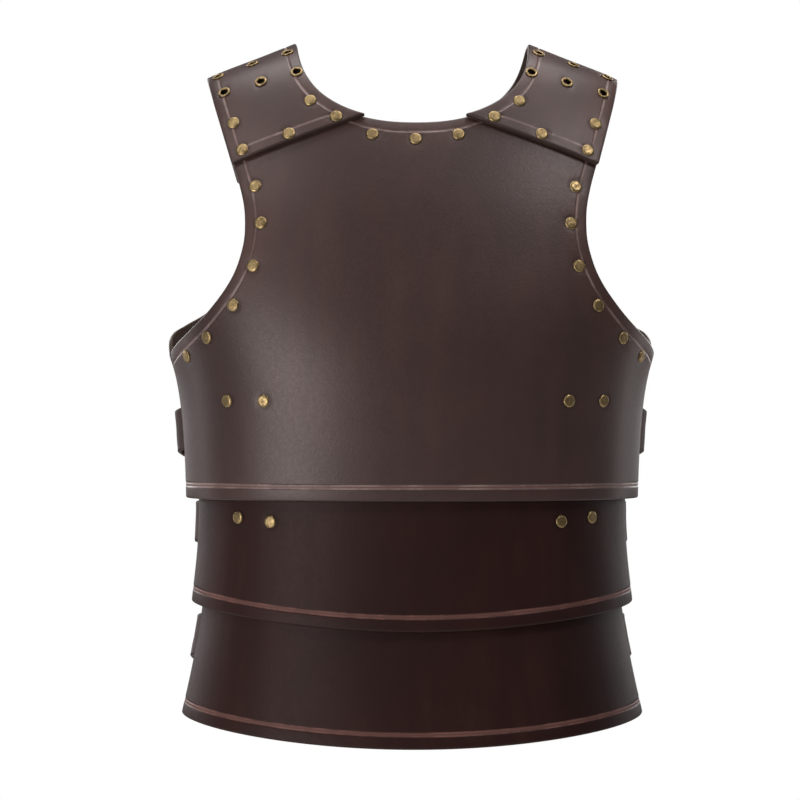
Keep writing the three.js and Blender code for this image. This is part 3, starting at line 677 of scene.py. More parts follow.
def beside(strap, s, w, h):
    """Points by a side strap: s along it, w across it and h off the back piece."""
    drop = math.radians(strap["drop"])
    reach = s * math.cos(drop) + w * math.sin(drop)
    z = strap["z"] - s * math.sin(drop) + w * math.cos(drop)
    sizes = bpy.context.scene.cuirass_sizes
    strap_thickness, plate = sizes.strap_leather / MM, sizes.plate_leather / MM
    front, back = strap["front"], strap["back"]
    inner = front.on(front.angle_round(reach, z), z,
                     h - STRAP_SEAT - strap_thickness - INNER_GAP)
    outer = back.on(back.angle_round(reach, z), z, h + plate)
    return mix(inner, outer, smooth(reach, FRONT_EDGE, BACK_EDGE - 4)[:, None])


def strap_place(strap):
    """Where a side strap lies."""
    return lambda spots, lift: beside(
        strap, spots[:, 0], spots[:, 1], STRAP_SEAT + climb_at(spots[:, 0]) + lift)


def strap_sides(strap):
    """The outline of a side strap, with its rounded tip."""
    half, neck = STRAP_WIDTH / 2, STRAP_TIP - STRAP_POINT
    turn = np.linspace(-math.pi / 2, math.pi / 2, 41)
    tip = np.stack([neck + STRAP_POINT * np.cos(turn), half * np.sin(turn)], 1)
    rows = [(strap["start"], half), (strap["start"], -half), (neck, -half)]
    return [("plain", np.linspace(rows[0], rows[1], 20)),
            ("plain", np.vstack([np.linspace(rows[1], rows[2], 150), tip[1:21]])),
            ("plain", np.vstack([tip[20:-1], np.linspace((neck, half), rows[0], 150)]))]


def oval(s, w, half_length, radius):
    """A punched hole with straight sides and round ends, or a round one."""
    turn = full_turn(32)
    straight = np.sign(np.cos(turn)) * (half_length - radius)
    return np.stack([s + straight + radius * np.cos(turn), w + radius * np.sin(turn)], 1)


def chape_place(strap):
    """Where a chape lies, folded round its buckle's heel bar, and its whole length."""
    middle = buckle_foot() + WIRE / 2
    half = CHAPE_THICKNESS / 2
    mean = CHAPE_LOOP + half
    turn = np.radians(np.linspace(-90, -270, 31))
    lower = GAP + half
    upper = GAP + (half + CHAPE_THICKNESS + LEG_GAP)
    centre = np.vstack([
        [(HEEL + 30, lower), (HEEL + 19, lower), (HEEL + 8, lower)],
        np.stack([HEEL + np.cos(turn) * mean, middle + np.sin(turn) * mean], 1),
        [(HEEL + 10, upper), (HEEL + 17, upper), (HEEL + 24, upper)]])
    centre = spline(centre, 400)
    length = run_along(centre)
    side = unit(np.gradient(centre, axis=0)) @ np.array([[0, 1], [-1, 0]])

    def place(spots, lift):
        t = spots[:, 0]
        lift = np.broadcast_to(lift, len(t)) - half
        s, h = [np.interp(t, length, centre[:, i])
                - np.interp(t, length, side[:, i]) * lift for i in (0, 1)]
        return beside(strap, s, spots[:, 1], h)
    return place, length[-1]


def tube(strap, path, widths, heights, closed):
    """A bar swept along a path of s, w and h, with its section's half width and half height."""
    path = np.array(path, float)
    count, ring = len(path), TUBE_SIDES
    if closed:
        tangent, up = np.roll(path, -1, 0) - np.roll(path, 1, 0), np.array([0, 0, 1.0])
    else:
        tangent, up = np.gradient(path, axis=0), np.array([0, 1.0, 0])
    tangent = unit(tangent)
    side = unit(np.cross(np.broadcast_to(up, tangent.shape), tangent))
    over = np.cross(tangent, side)
    turn = full_turn(ring)
    reach = side[:, None] * (np.cos(turn)[:, None] * np.reshape(heights, (-1, 1, 1)))
    reach = reach + over[:, None] * (np.sin(turn)[:, None] * np.reshape(widths, (-1, 1, 1)))
    points = (path[:, None] + reach).reshape(-1, 3)
    faces = []
    for i in range(count if closed else count - 1):
        for j in range(ring):
            a, b = i * ring + j, i * ring + (j + 1) % ring
            c, d = [((i + 1) % count) * ring + k for k in ((j + 1) % ring, j)]
            faces += [(a, b, c), (a, c, d)]
    if not closed:
        points = np.vstack([points, path[0], path[-1]])
        first, last = len(points) - 2, len(points) - 1
        for j in range(ring):
            a, b = j, (j + 1) % ring
            faces += [(b, a, first), (a + (count - 1) * ring, b + (count - 1) * ring, last)]
    return beside(strap, *points.T), np.array(faces)


def buckle_foot():
    """How high a buckle's frame stands off the back piece."""
    return STRAP_SEAT + bpy.context.scene.cuirass_sizes.strap_leather / MM + GAP


def buckle_parts(strap):
    """The frame with its heel bar, and the prong that is hung on it."""
    level = buckle_foot() + WIRE / 2
    radius = FRAME_CORNER
    corners = [(BAR, -1), (HEEL, -1), (HEEL, 1), (BAR, 1)]
    path = []
    for i, (s, side) in enumerate(corners):
        centre = (s + (radius if s == BAR else -radius), side * (FRAME_HALF_WIDTH - radius))
        for turn in np.radians(np.linspace(180, 270, 8) + i * 90):
            path.append((centre[0] + radius * math.cos(turn),
                         centre[1] + radius * math.sin(turn), level))
    dense = []
    for i, spot in enumerate(path):
        following = path[(i + 1) % len(path)]
        steps = max(int(np.linalg.norm(np.subtract(following, spot)) / FRAME_STEP), 1)
        dense += [tuple(mix(np.array(spot), np.array(following), k / steps)) for k in range(steps)]
    at_ends = np.abs(np.array(dense)[:, 1]) < FRAME_HALF_WIDTH - 3
    swell = 1 + FRAME_SWELL * at_ends
    frame_part = tube(strap, dense, WIRE / 2 * swell, WIRE / 2 * swell, True)
    turn = np.radians(np.linspace(-60, 95, 12))
    eye = [(HEEL + PRONG_EYE * math.cos(a), 0, level + PRONG_EYE * math.sin(a)) for a in turn]
    run = [(s, 0, level + rise) for s, rise in PRONG_RUN]
    prong = spline(eye + run, 60)
    share = np.linspace(0, 1, 61)
    prong_part = tube(strap, prong, mix(*PRONG_WIDTHS, share), mix(*PRONG_HEIGHTS, share), False)
    return frame_part, prong_part


def joined(*parts):
    """One set of points and faces from several."""
    points, faces, start = [], [], 0
    for some, their_faces in parts:
        points.append(some)
        faces.append(their_faces + start)
        start += len(some)
    return np.concatenate(points), np.concatenate(faces)


# ---------------------------------------------------------------- hangers

HANGER_WIDTH = 24.0
HANGERS = {
    "front": {"forms": (CHEST_FRONT, WAIST_FRONT, HIP_FRONT), "x": 104, "top": -229,
              "bottom": -400},
    "back": {"forms": (CHEST_BACK, WAIST_BACK, HIP_BACK), "x": 62, "top": -246,
             "bottom": -412},
}
FIRST_PASS, SECOND_PASS = (-264, -284), (-346, -363)


def hanger_place(which):
    """Where a hanger lies: inside the plate, then inside the lames."""
    hanger = HANGERS[which]
    thickness = bpy.context.scene.cuirass_sizes.strap_leather / MM
    base = -INNER_GAP - thickness - (thickness + GAP if which == "front" else 0)

    def place(spots, lift):
        x, z = spots.T
        lift = np.broadcast_to(lift, len(x)) + base
        chest, waist, hip = [form.on(form.angle_at(x, z), z, lift) for form in hanger["forms"]]
        points = mix(chest, waist, smooth(z, *FIRST_PASS)[:, None])
        points = mix(points, hip, smooth(z, *SECOND_PASS)[:, None])
        return points * ([1, 1, 1] if which == "front" else [1, -1, 1])
    return place


def box_sides(low, high, steps=60, tag="plain"):
    """The outline of a sheet that is cut square."""
    corners = [(low[0], low[1]), (high[0], low[1]), (high[0], high[1]), (low[0], high[1])]
    return [(tag, np.linspace(corners[i], corners[(i + 1) % 4], steps)) for i in range(4)]


# ---------------------------------------------------------------- rivets and eyelets

# How far from the middle and how high, as seen from in front.
SHOULDER_RIVETS = ((75, -30), (56.5, -42), (90.2, -54.5), (123.5, -66), (130, -46))
# At the back: which side of the strap, and how far from the end's crease.
BACK_SHOULDER_RIVETS = ((0, 0), (0.5, 0), (1, 0), (0, 26), (1, 24))
EYELET_SPOTS = ((84.7, -8), (110.5, -15), (137, -22.5), (91.4, 8), (116.7, 0), (141.5, -9))
NECK_RIVETS = ((0, -58.4), (30.7, -55))
ARMHOLE_RIVETS = ((114, -92.5), (110, -119), (115.5, -149.5), (129.5, -177.2), (148.6, -200),
                  (163.6, -213))
SIDE_RIVETS = {"upper": ((134, -245), (108, -245)), "middle": ((126.5, -328), (103.3, -330.5)),
               "lower": ((127, -383), (104, -386))}
BACK_HANGER_RIVETS = ((CHEST_BACK, 62, -256), (WAIST_BACK, 62, -330), (HIP_BACK, 62, -398))
CORNER_START = 8  # where the search for a back end's crease lines starts, from its corner
RIVET_SUNK = 0.25  # how far a rivet's cap is sunk into the leather
TAIL = 0.77  # size of a rivet's inner head, as a share of its cap
EYELET_HOLE = 3.3  # radius of the hole punched for an eyelet
EYELET_ABOVE, EYELET_BELOW = 0.35, 0.45  # how far its two rings stand off the strap
SEARCH_STEPS, SEARCH_SHARE = 14, 0.8  # of the search for a fastener's spot on a form
NEAR_STEPS, NEAR_REACH = 25, 8  # and for its spot on a flat pattern


def strap_lift():
    """How high a shoulder strap's underside stands off the body form."""
    return bpy.context.scene.cuirass_sizes.plate_leather / MM + GAP


def strap_top():
    """How high its upper face stands."""
    return strap_lift() + bpy.context.scene.cuirass_sizes.shoulder_leather / MM


def back_strap_spots(place):
    """Where the rivets at a shoulder strap's back end stand on its flat pattern."""
    spots = []
    for share, further in BACK_SHOULDER_RIVETS:
        near = np.array([[mix(CORNER_START, STRAP_BREADTH - CORNER_START, share),
                          CORNER_START - STRAP_LENGTH]])
        across, along = [vector[0] for vector in across_and_along(place, near)]
        skew = np.linalg.norm(np.cross(across, along))
        u = share * STRAP_BREADTH + (1 - 2 * share) * BORDER_AT * np.linalg.norm(along) / skew
        v = BORDER_AT * np.linalg.norm(across) / skew + further / np.linalg.norm(along)
        spots.append((u, v - STRAP_LENGTH))
    return spots


def spot_at(form, x, z, lift):
    """The angle and height on a form whose point at that lift is x wide and z high."""
    form_x, form_z = float(x), float(z)
    for _ in range(SEARCH_STEPS):
        angle = form.angle_at(np.array([form_x]), np.array([form_z]))
        point = form.on(angle, np.array([form_z]), lift)[0]
        form_x += (x - point[0]) * SEARCH_SHARE
        form_z += (z - point[2]) * SEARCH_SHARE
    return float(form.angle_at(np.array([form_x]), np.array([form_z]))[0]), form_z


def stand_on(form, x, z, lift, behind=False):
    """The point and outward direction of a fastener, on the wearer's left."""
    angle, height = spot_at(form, x, z, lift)
    angle = math.pi - angle if behind else angle
    angle, height = np.array([angle]), np.array([height])
    return form.on(angle, height, lift)[0], form.outward(angle, height)[0]


def spot_near(place, target, start):
    """The flat spot of a sheet that lies nearest a point."""
    spot = np.array([start], float)
    for _ in range(NEAR_STEPS):
        across, along = across_and_along(place, spot)
        gap = target - place(spot, 0.0)[0]
        step, *_ = np.linalg.lstsq(np.stack([across[0], along[0]], 1), gap, rcond=None)
        spot += np.clip(step, -NEAR_REACH, NEAR_REACH)
    return spot[0]


# ---------------------------------------------------------------- node helpers

NUMBER, POINT, SHAPE = "NodeSocketFloat", "NodeSocketVector", "NodeSocketGeometry"


def add_node(tree, kind, settings=None, **inputs):
    """Adds a node, sets or links its inputs, and returns it."""
    node = tree.nodes.new(kind)
    for key, value in (settings or {}).items():
        setattr(node, key, value)
    for key, value in inputs.items():
        name = int(key[1:]) if key[0] == "i" and key[1:].isdigit() else key.replace("_", " ")
        socket = node.inputs[name]
        if isinstance(value, bpy.types.NodeSocket):
            tree.links.new(value, socket)
        else:
            socket.default_value = value
    return node


def maths(tree, operation, a, b=0.0):
    """The result of one maths node."""
    return add_node(tree, "ShaderNodeMath", {"operation": operation}, i0=a, i1=b).outputs[0]


def times(tree, value, *others):
    for other in others:
        value = maths(tree, "MULTIPLY", value, other)
    return value


def plus(tree, value, *others):
    for other in others:
        value = maths(tree, "ADD", value, other)
    return value


def minus(tree, a, b):
    return maths(tree, "SUBTRACT", a, b)


def from_axis(tree, x, y):
    """How far a point is from the upright axis."""
    return maths(tree, "SQRT", plus(tree, times(tree, x, x), times(tree, y, y)))


def ramp(tree, value, low, high, to_low=0.0, to_high=1.0):
    return add_node(tree, "ShaderNodeMapRange", {"interpolation_type": "SMOOTHSTEP"}, Value=value,
                    From_Min=low, From_Max=high, To_Min=to_low, To_Max=to_high).outputs[0]


def blend_colour(tree, share, first, second):
    return add_node(tree, "ShaderNodeMix", {"data_type": "RGBA"}, i0=share, i6=first,
                    i7=second).outputs[2]


def noise(tree, vector, scale, detail, roughness=0.5):
    return add_node(tree, "ShaderNodeTexNoise", Vector=vector, Scale=scale, Detail=detail,
                    Roughness=roughness).outputs["Fac"]


def attribute(tree, name):
    """Reads a value that a piece's mesh keeps at its points."""
    return add_node(tree, "ShaderNodeAttribute", {"attribute_type": "GEOMETRY",
                                                  "attribute_name": name}).outputs["Fac"]


def new_group(name, kind, inputs, outputs):
    """A node group with named sockets; returns the tree, its inputs and its output node."""
    group = bpy.data.node_groups.new(name, kind)
    for socket, (form, value) in inputs.items():
        made = group.interface.new_socket(name=socket, in_out="INPUT", socket_type=form)
        if value is not None:
            made.default_value = value
    for socket, form in outputs.items():
        group.interface.new_socket(name=socket, in_out="OUTPUT", socket_type=form)
    entry = group.nodes.new("NodeGroupInput")
    leave = group.nodes.new("NodeGroupOutput")
    return group, entry.outputs, leave


def use_group(tree, group, **inputs):
    return add_node(tree, "ShaderNodeGroup", {"node_tree": group}, **inputs).outputs


# ---------------------------------------------------------------- leather and brass

def dye_group():
    """Uneven dye: broad clouds, smaller marks and rubbed streaks."""
    group, given, leave = new_group(
        "uneven dye", "ShaderNodeTree",
        {"Vector": (POINT, None), "Cloud Scale": (NUMBER, 9.0), "Mark Scale": (NUMBER, 55.0)},
        {"Clouds": NUMBER, "Marks": NUMBER, "Rubs": NUMBER, "Fine": NUMBER})
    even, clouds, marks = given["Vector"], given["Cloud Scale"], given["Mark Scale"]
    long = add_node(group, "ShaderNodeMapping", Vector=even, Scale=(1.0, 1.0, 0.12)).outputs[0]
    for name, vector, scale, detail, roughness, low, high in (
            ("Clouds", even, clouds, 3.0, 0.55, 0.3, 0.7),
            ("Marks", even, marks, 6.0, 0.6, 0.32, 0.72),
            ("Rubs", long, marks, 4.0, 0.6, 0.35, 0.75),
            ("Fine", even, times(group, marks, 6.0), 4.0, 0.5, 0.3, 0.7)):
        value = noise(group, vector, scale, detail, roughness)
        group.links.new(ramp(group, value, low, high), leave.inputs[name])
    return group


def grain_group():
    """The fine pebbles and pores of smooth leather, as a height."""
    group, given, leave = new_group(
        "leather grain", "ShaderNodeTree",
        {"Vector": (POINT, None), "Pebble Scale": (NUMBER, 700.0)}, {"Height": NUMBER})
    vector, scale = given["Vector"], given["Pebble Scale"]
    cells = add_node(group, "ShaderNodeTexVoronoi", {"feature": "SMOOTH_F1"}, Vector=vector,
                     Scale=scale, Smoothness=0.7).outputs["Distance"]
    fine = noise(group, vector, times(group, scale, 2.1), 3.0)
    coarse = noise(group, vector, times(group, scale, 0.25), 4.0)
    height = plus(group, times(group, cells, 0.5), times(group, fine, 0.3),
                  times(group, coarse, 0.5))
    group.links.new(height, leave.inputs["Height"])
    return group


def crease_group():
    """Masks from a sheet's distances: creased lines, the band between two, and the edge."""
    group, given, leave = new_group(
        "creased edges", "ShaderNodeTree",
        {"Unevenness": (NUMBER, 0.5)},
        {"Line": NUMBER, "Band": NUMBER, "Edge": NUMBER, "Seat": NUMBER, "Margin": NUMBER,
         "Flesh": NUMBER})
    edge, border, hem, seat, flesh = [
        attribute(group, name) for name in ("edge_mm", "border_mm", "hem_mm", "seat_mm", "flesh")]

    def line(distance, centre, half_width):
        off = maths(group, "ABSOLUTE", minus(group, distance, centre))
        return ramp(group, off, half_width * 0.45, half_width, 1.0, 0.0)

    hem_lines = maths(group, "MAXIMUM", line(hem, HEM_AT[0], 0.85), line(hem, HEM_AT[1], 0.85))
    lines = maths(group, "MAXIMUM", line(border, BORDER_AT, 1.15), hem_lines)
    fade = ramp(group, given["Unevenness"], 0.1, 0.9, 0.35, 1.0)
    outer = minus(group, 1.0, flesh)
    masks = {"Line": times(group, lines, fade, outer),
             "Band": times(group, line(hem, (HEM_AT[0] + HEM_AT[1]) / 2, 1.5), outer),
             "Seat": times(group, ramp(group, seat, 4.6, 7.5, 1.0, 0.0), outer),
             "Margin": times(group, ramp(group, border, 9.0, 30.0, 1.0, 0.0), outer),
             "Edge": ramp(group, edge, 0.5, 1.9, 1.0, 0.0),
             "Flesh": ramp(group, flesh, 0.4, 0.95)}
    for name, mask in masks.items():
        group.links.new(mask, leave.inputs[name])
    return group


def rgba(colour, gain=1.0):
    """A colour, made darker or lighter, with full alpha."""
    return (*[channel * gain for channel in colour], 1.0)


def new_material(name):
    """A new material's tree, its shader and the piece's own coordinates."""
    material = bpy.data.materials.new(name)
    material.use_nodes = True
    tree = material.node_tree
    coords = tree.nodes.new("ShaderNodeTexCoord").outputs["Object"]
    return tree, tree.nodes["Principled BSDF"], coords


def surface(tree, shader, colour, rough, height, strength, distance):
    """Gives a shader its colour and roughness, and its relief from a height."""
    relief = add_node(tree, "ShaderNodeBump", Height=height, Strength=strength, Distance=distance)
    tree.links.new(colour, shader.inputs["Base Color"])
    tree.links.new(rough, shader.inputs["Roughness"])
    tree.links.new(relief.outputs[0], shader.inputs["Normal"])


def leather_material(name, colour, crease_colour, groups, roughness=0.42, shine=0.5,
                     streaks=0.3):
    """Waxed, vegetable-tanned leather with a rough inner side."""
    finish = bpy.context.scene.cuirass_finish
    tree, shader, coords = new_material(name)
    dye = use_group(tree, groups["dye"], Vector=coords)
    crease = use_group(tree, groups["crease"], Unevenness=dye["Marks"])
    grain = use_group(tree, groups["grain"], Vector=coords)
    flesh = blend_colour(tree, dye["Marks"], rgba(finish.flesh_colour, 0.75),
                         rgba(finish.flesh_colour, 1.2))
    skin = blend_colour(tree, dye["Clouds"], rgba(colour, 0.88), rgba(colour, 1.12))
    for share, over in (
            (times(tree, dye["Marks"], 0.3), rgba(colour, 1.3)),
            (times(tree, dye["Rubs"], dye["Clouds"], streaks), rgba(finish.rubbed_colour)),
            (times(tree, crease["Margin"], dye["Clouds"], 0.4), rgba(finish.rubbed_colour)),
            (times(tree, crease["Seat"], 0.35), rgba(colour, 0.55)),
            (times(tree, crease["Band"], 0.75), rgba(finish.band_colour)),
            (crease["Line"], rgba(crease_colour)),
            (times(tree, crease["Edge"], 0.85), rgba(finish.edge_colour)),
            (crease["Flesh"], flesh)):
        skin = blend_colour(tree, share, skin, over)
    rough = ramp(tree, dye["Fine"], 0.0, 1.0, roughness - 0.015, roughness + 0.02)
    rough = maths(tree, "MAXIMUM", rough, times(tree, crease["Flesh"], 0.9))
    surface(tree, shader, skin, rough, grain["Height"], 0.35, 0.00025)
    shader.inputs["Specular IOR Level"].default_value = shine
    shader.inputs["Specular Tint"].default_value = rgba(finish.shine_colour)


def brass_material(name, groups):
    """Antique brass: bright where it is rubbed, brown in its scratches, dark in a bore."""
    finish = bpy.context.scene.cuirass_finish
    tree, shader, coords = new_material(name)
    dye = use_group(tree, groups["dye"], Vector=coords, Cloud_Scale=140.0, Mark_Scale=420.0)
    patina = times(tree, dye["Clouds"], dye["Marks"])
    colour = blend_colour(tree, patina, rgba(finish.brass_colour), rgba(finish.patina_colour))
    colour = blend_colour(tree, attribute(tree, "bore"), colour, rgba(finish.patina_colour, 0.12))
    rough = ramp(tree, dye["Marks"], 0.0, 1.0, 0.34, 0.6)
    surface(tree, shader, colour, rough, dye["Marks"], 0.4, 0.0002)
    shader.inputs["Metallic"].default_value = 1.0


FINISHES = {"leather": "waxed leather", "lame": "plain leather", "strap": "strap leather",
            "brass": "antique brass"}


def finish_of(part):
    """The material of a kind of part; all are made once, with the first."""
    if FINISHES["leather"] not in bpy.data.materials:
        finish = bpy.context.scene.cuirass_finish
        groups = {"dye": dye_group(), "grain": grain_group(), "crease": crease_group()}
        pale, red = finish.crease_colour, finish.red_crease_colour
        leather_material(FINISHES["leather"], finish.leather_colour, pale, groups)
        leather_material(FINISHES["lame"], finish.lame_colour, red, groups, 0.5, 0.17, 0.12)
        leather_material(FINISHES["strap"], finish.strap_colour, pale, groups, 0.5, 0.22)
        brass_material(FINISHES["brass"], groups)
    return bpy.data.materials[FINISHES[part]]


# ---------------------------------------------------------------- fastener trees

def set_shape(tree, geometry, formula):
    """Moves a shape's points; formula takes the x, y and z sockets and returns three."""
    position = tree.nodes.new("GeometryNodeInputPosition").outputs[0]
    parts = add_node(tree, "ShaderNodeSeparateXYZ", Vector=position).outputs
    x, y, z = formula(*parts)
    vector = add_node(tree, "ShaderNodeCombineXYZ", X=x, Y=y, Z=z).outputs[0]
    return add_node(tree, "GeometryNodeSetPosition", Geometry=geometry,
                    Position=vector).outputs[0]


def stored(tree, name, form="FLOAT"):
    """Reads a value that the points carry."""
    return add_node(tree, "GeometryNodeInputNamedAttribute", {"data_type": form},
                    Name=name).outputs[0]


def instanced(tree, points, shape, scale, spin):
    """Stands a shape on each point, along its 'normal', turned by a fixed random amount."""
    chance = add_node(tree, "FunctionNodeRandomValue", {"data_type": "FLOAT"},
                      i2=0.0, i3=6.283, Seed=spin).outputs[1]
    turn = add_node(tree, "FunctionNodeAlignRotationToVector", {"axis": "Z"},
                    Vector=stored(tree, "normal", "FLOAT_VECTOR")).outputs[0]
    about = add_node(tree, "FunctionNodeAxisAngleToRotation", Axis=(0.0, 0.0, 1.0),
                     Angle=chance).outputs[0]
    turned = add_node(tree, "FunctionNodeRotateRotation", {"rotation_space": "LOCAL"},
                      Rotation=turn, Rotate_By=about).outputs[0]
    placed = add_node(tree, "GeometryNodeInstanceOnPoints", Points=points, Instance=shape,
                      Rotation=turned, Scale=scale).outputs[0]
    return add_node(tree, "GeometryNodeRealizeInstances", Geometry=placed).outputs[0]


def finish_tree(tree, parts, leave):
    """Joins the parts and makes them brass."""
    join = tree.nodes.new("GeometryNodeJoinGeometry")
    for part in parts:
        tree.links.new(part, join.inputs[0])
    rounded = add_node(tree, "GeometryNodeSetShadeSmooth", Geometry=join.outputs[0])
    made = add_node(tree, "GeometryNodeSetMaterial", Geometry=rounded.outputs[0],
                    Material=finish_of("brass"))
    tree.links.new(made.outputs[0], leave.inputs["Geometry"])


def rivet_tree():
    """A capped rivet on each point: a domed cap with a rim, and a shank below it."""
    tree, given, leave = new_group(
        "capped rivets", "GeometryNodeTree",
        {"Geometry": (SHAPE, None), "Cap Radius": (NUMBER, 0.0047),
         "Cap Height": (NUMBER, 0.0014), "Shank Radius": (NUMBER, 0.0015),
         "Seed": ("NodeSocketInt", 3)},
        {"Geometry": SHAPE})
    ball = add_node(tree, "GeometryNodeMeshUVSphere", Segments=28, Rings=18, Radius=1.0)

    def cap(x, y, z):
        off = from_axis(tree, x, y)
        dome = minus(tree, 1.0, maths(tree, "POWER", off, 4.0))
        dome = maths(tree, "POWER", maths(tree, "MAXIMUM", dome, 0.0), 0.62)
        dome = plus(tree, dome, ramp(tree, off, 0.52, 0.74, -0.13, 0.0))
        above = maths(tree, "GREATER_THAN", z, 0.001)
        foot = times(tree, minus(tree, 1.0, above), -0.0002)
        height = plus(tree, times(tree, dome, given["Cap Height"], above), foot)
        return times(tree, x, given["Cap Radius"]), times(tree, y, given["Cap Radius"]), height

    size, grip = stored(tree, "size"), stored(tree, "grip")
    scale = add_node(tree, "ShaderNodeCombineXYZ", X=size, Y=size, Z=size).outputs[0]
    caps = instanced(tree, given["Geometry"], set_shape(tree, ball.outputs["Mesh"], cap), scale,
                     given["Seed"])
    rod = add_node(tree, "GeometryNodeMeshCylinder", {"fill_type": "NGON"}, Vertices=12,
                   Side_Segments=1, Radius=given["Shank Radius"], Depth=1.0)
    rod = set_shape(tree, rod.outputs["Mesh"], lambda x, y, z: (x, y, minus(tree, z, 0.5)))
    scale = add_node(tree, "ShaderNodeCombineXYZ", X=1.0, Y=1.0, Z=grip).outputs[0]
    rods = instanced(tree, given["Geometry"], rod, scale, given["Seed"])
    finish_tree(tree, [caps, rods], leave)
    return tree


def wire_ring(tree, radius, steps, wire, sides):
    """A ring of round wire."""
    path, section = [add_node(tree, "GeometryNodeCurvePrimitiveCircle", Resolution=count,
                              Radius=size).outputs[0]
                     for count, size in ((steps, radius), (sides, wire))]
    return add_node(tree, "GeometryNodeCurveToMesh", Curve=path,
                    Profile_Curve=section).outputs[0]


BARREL_WALL = 0.0002  # half the thickness of an eyelet's barrel


def eyelet_tree():
    """A rolled brass ring on each point, with its barrel through the leather."""
    tree, given, leave = new_group(
        "rolled eyelets", "GeometryNodeTree",
        {"Geometry": (SHAPE, None), "Ring Radius": (NUMBER, 0.0046),
         "Bore Radius": (NUMBER, 0.0027), "Barrel Depth": (NUMBER, 0.004),
         "Seed": ("NodeSocketInt", 5)},
        {"Geometry": SHAPE})
    outer, bore, depth = given["Ring Radius"], given["Bore Radius"], given["Barrel Depth"]
    mean = times(tree, plus(tree, outer, bore), 0.5)
    half = times(tree, minus(tree, outer, bore), 0.5)
    ring = set_shape(tree, wire_ring(tree, mean, 36, half, 12),
                     lambda x, y, z: (x, y, times(tree, z, 0.75)))
    tall = wire_ring(tree, plus(tree, bore, 0.00025), 28, BARREL_WALL, 8)
    stretch = maths(tree, "DIVIDE", depth, 2 * BARREL_WALL)

    def barrel(x, y, z):
        return x, y, minus(tree, times(tree, z, stretch), times(tree, depth, 0.5))

    tops, tubes = [instanced(tree, given["Geometry"], shape, (1.0, 1.0, 1.0), given["Seed"])
                   for shape in (ring, set_shape(tree, tall, barrel))]
    tubes = add_node(tree, "GeometryNodeStoreNamedAttribute",
                     {"data_type": "FLOAT", "domain": "POINT"},
                     Geometry=tubes, Name="bore", Value=1.0).outputs[0]
    finish_tree(tree, [tops, tubes], leave)
    return tree


def grown(name, tree, spots, values):
    """Runs a fastener tree on points with their directions, and keeps the mesh it makes."""
    mesh = bpy.data.meshes.new(name)
    mesh.from_pydata([tuple(point * MM) for point, *_ in spots], [], [])
    normal = mesh.attributes.new("normal", "FLOAT_VECTOR", "POINT")
    normal.data.foreach_set("vector", np.array([spot[1] for spot in spots]).ravel())
    for key, column in (("size", 2), ("grip", 3)):
        data = mesh.attributes.new(key, "FLOAT", "POINT").data
        data.foreach_set("value", [float(spot[column]) for spot in spots])
    piece = bpy.data.objects.new(name, mesh)
    bpy.context.scene.collection.objects.link(piece)
    modifier = piece.modifiers.new("fasteners", "NODES")
    modifier.node_group = tree
    for item in tree.interface.items_tree:
        if item.item_type == "SOCKET" and item.in_out == "INPUT" and item.name in values:
            modifier[item.identifier] = values[item.name]
    evaluated = piece.evaluated_get(bpy.context.evaluated_depsgraph_get())
    made = bpy.data.meshes.new_from_object(evaluated)
    piece.modifiers.clear()
    piece.data = made
    made.name = name
    for key in ("normal", "size", "grip"):
        if key in made.attributes:
            made.attributes.remove(made.attributes[key])
    bpy.data.meshes.remove(mesh)
    return piece


def mirrored_spots(spots):
    """The same fasteners on the wearer's right."""
    flip = np.array([-1, 1, 1])
    return [(point * flip, normal * flip, *rest) for point, normal, *rest in spots]


def both_ends(point, normal, grip):
    """A rivet's cap, and the smaller head at the other end of its shank."""
    return [(point, normal, 1.0, grip * MM), (point - normal * grip, -normal, TAIL, 0.0)]


# ---------------------------------------------------------------- settings

def length_setting(name, description, default, low, high):
    return FloatProperty(name=name, description=description, default=default, min=low, max=high,
                         unit="LENGTH", subtype="DISTANCE")


def colour_setting(name, description, *default):
    return FloatVectorProperty(name=name, description=description, default=default, min=0, max=1,
                               size=3, subtype="COLOR")


def power_setting(name, description, default):
    return FloatProperty(name=name, description=description, default=default, min=0,
                         unit="POWER")


class CuirassSizes(PropertyGroup):
    """Sizes a maker would choose."""

    plate_leather: length_setting(
        "Plate leather", "Thickness of the plates and lames", 0.0035, 0.001, 0.008)
    shoulder_leather: length_setting(
        "Shoulder leather", "Thickness of the shoulder straps", 0.004, 0.001, 0.008)
    strap_leather: length_setting(
        "Strap leather", "Thickness of the side straps and hangers", 0.003, 0.001, 0.006)
    rivet_radius: length_setting(
        "Rivet cap", "Radius of a rivet's cap", 0.0047, 0.002, 0.01)
    rivet_height: length_setting(
        "Rivet height", "Height of a rivet's cap", 0.0014, 0.0005, 0.004)
    eyelet_radius: length_setting(
        "Eyelet", "Outer radius of an eyelet's ring", 0.0046, 0.002, 0.01)


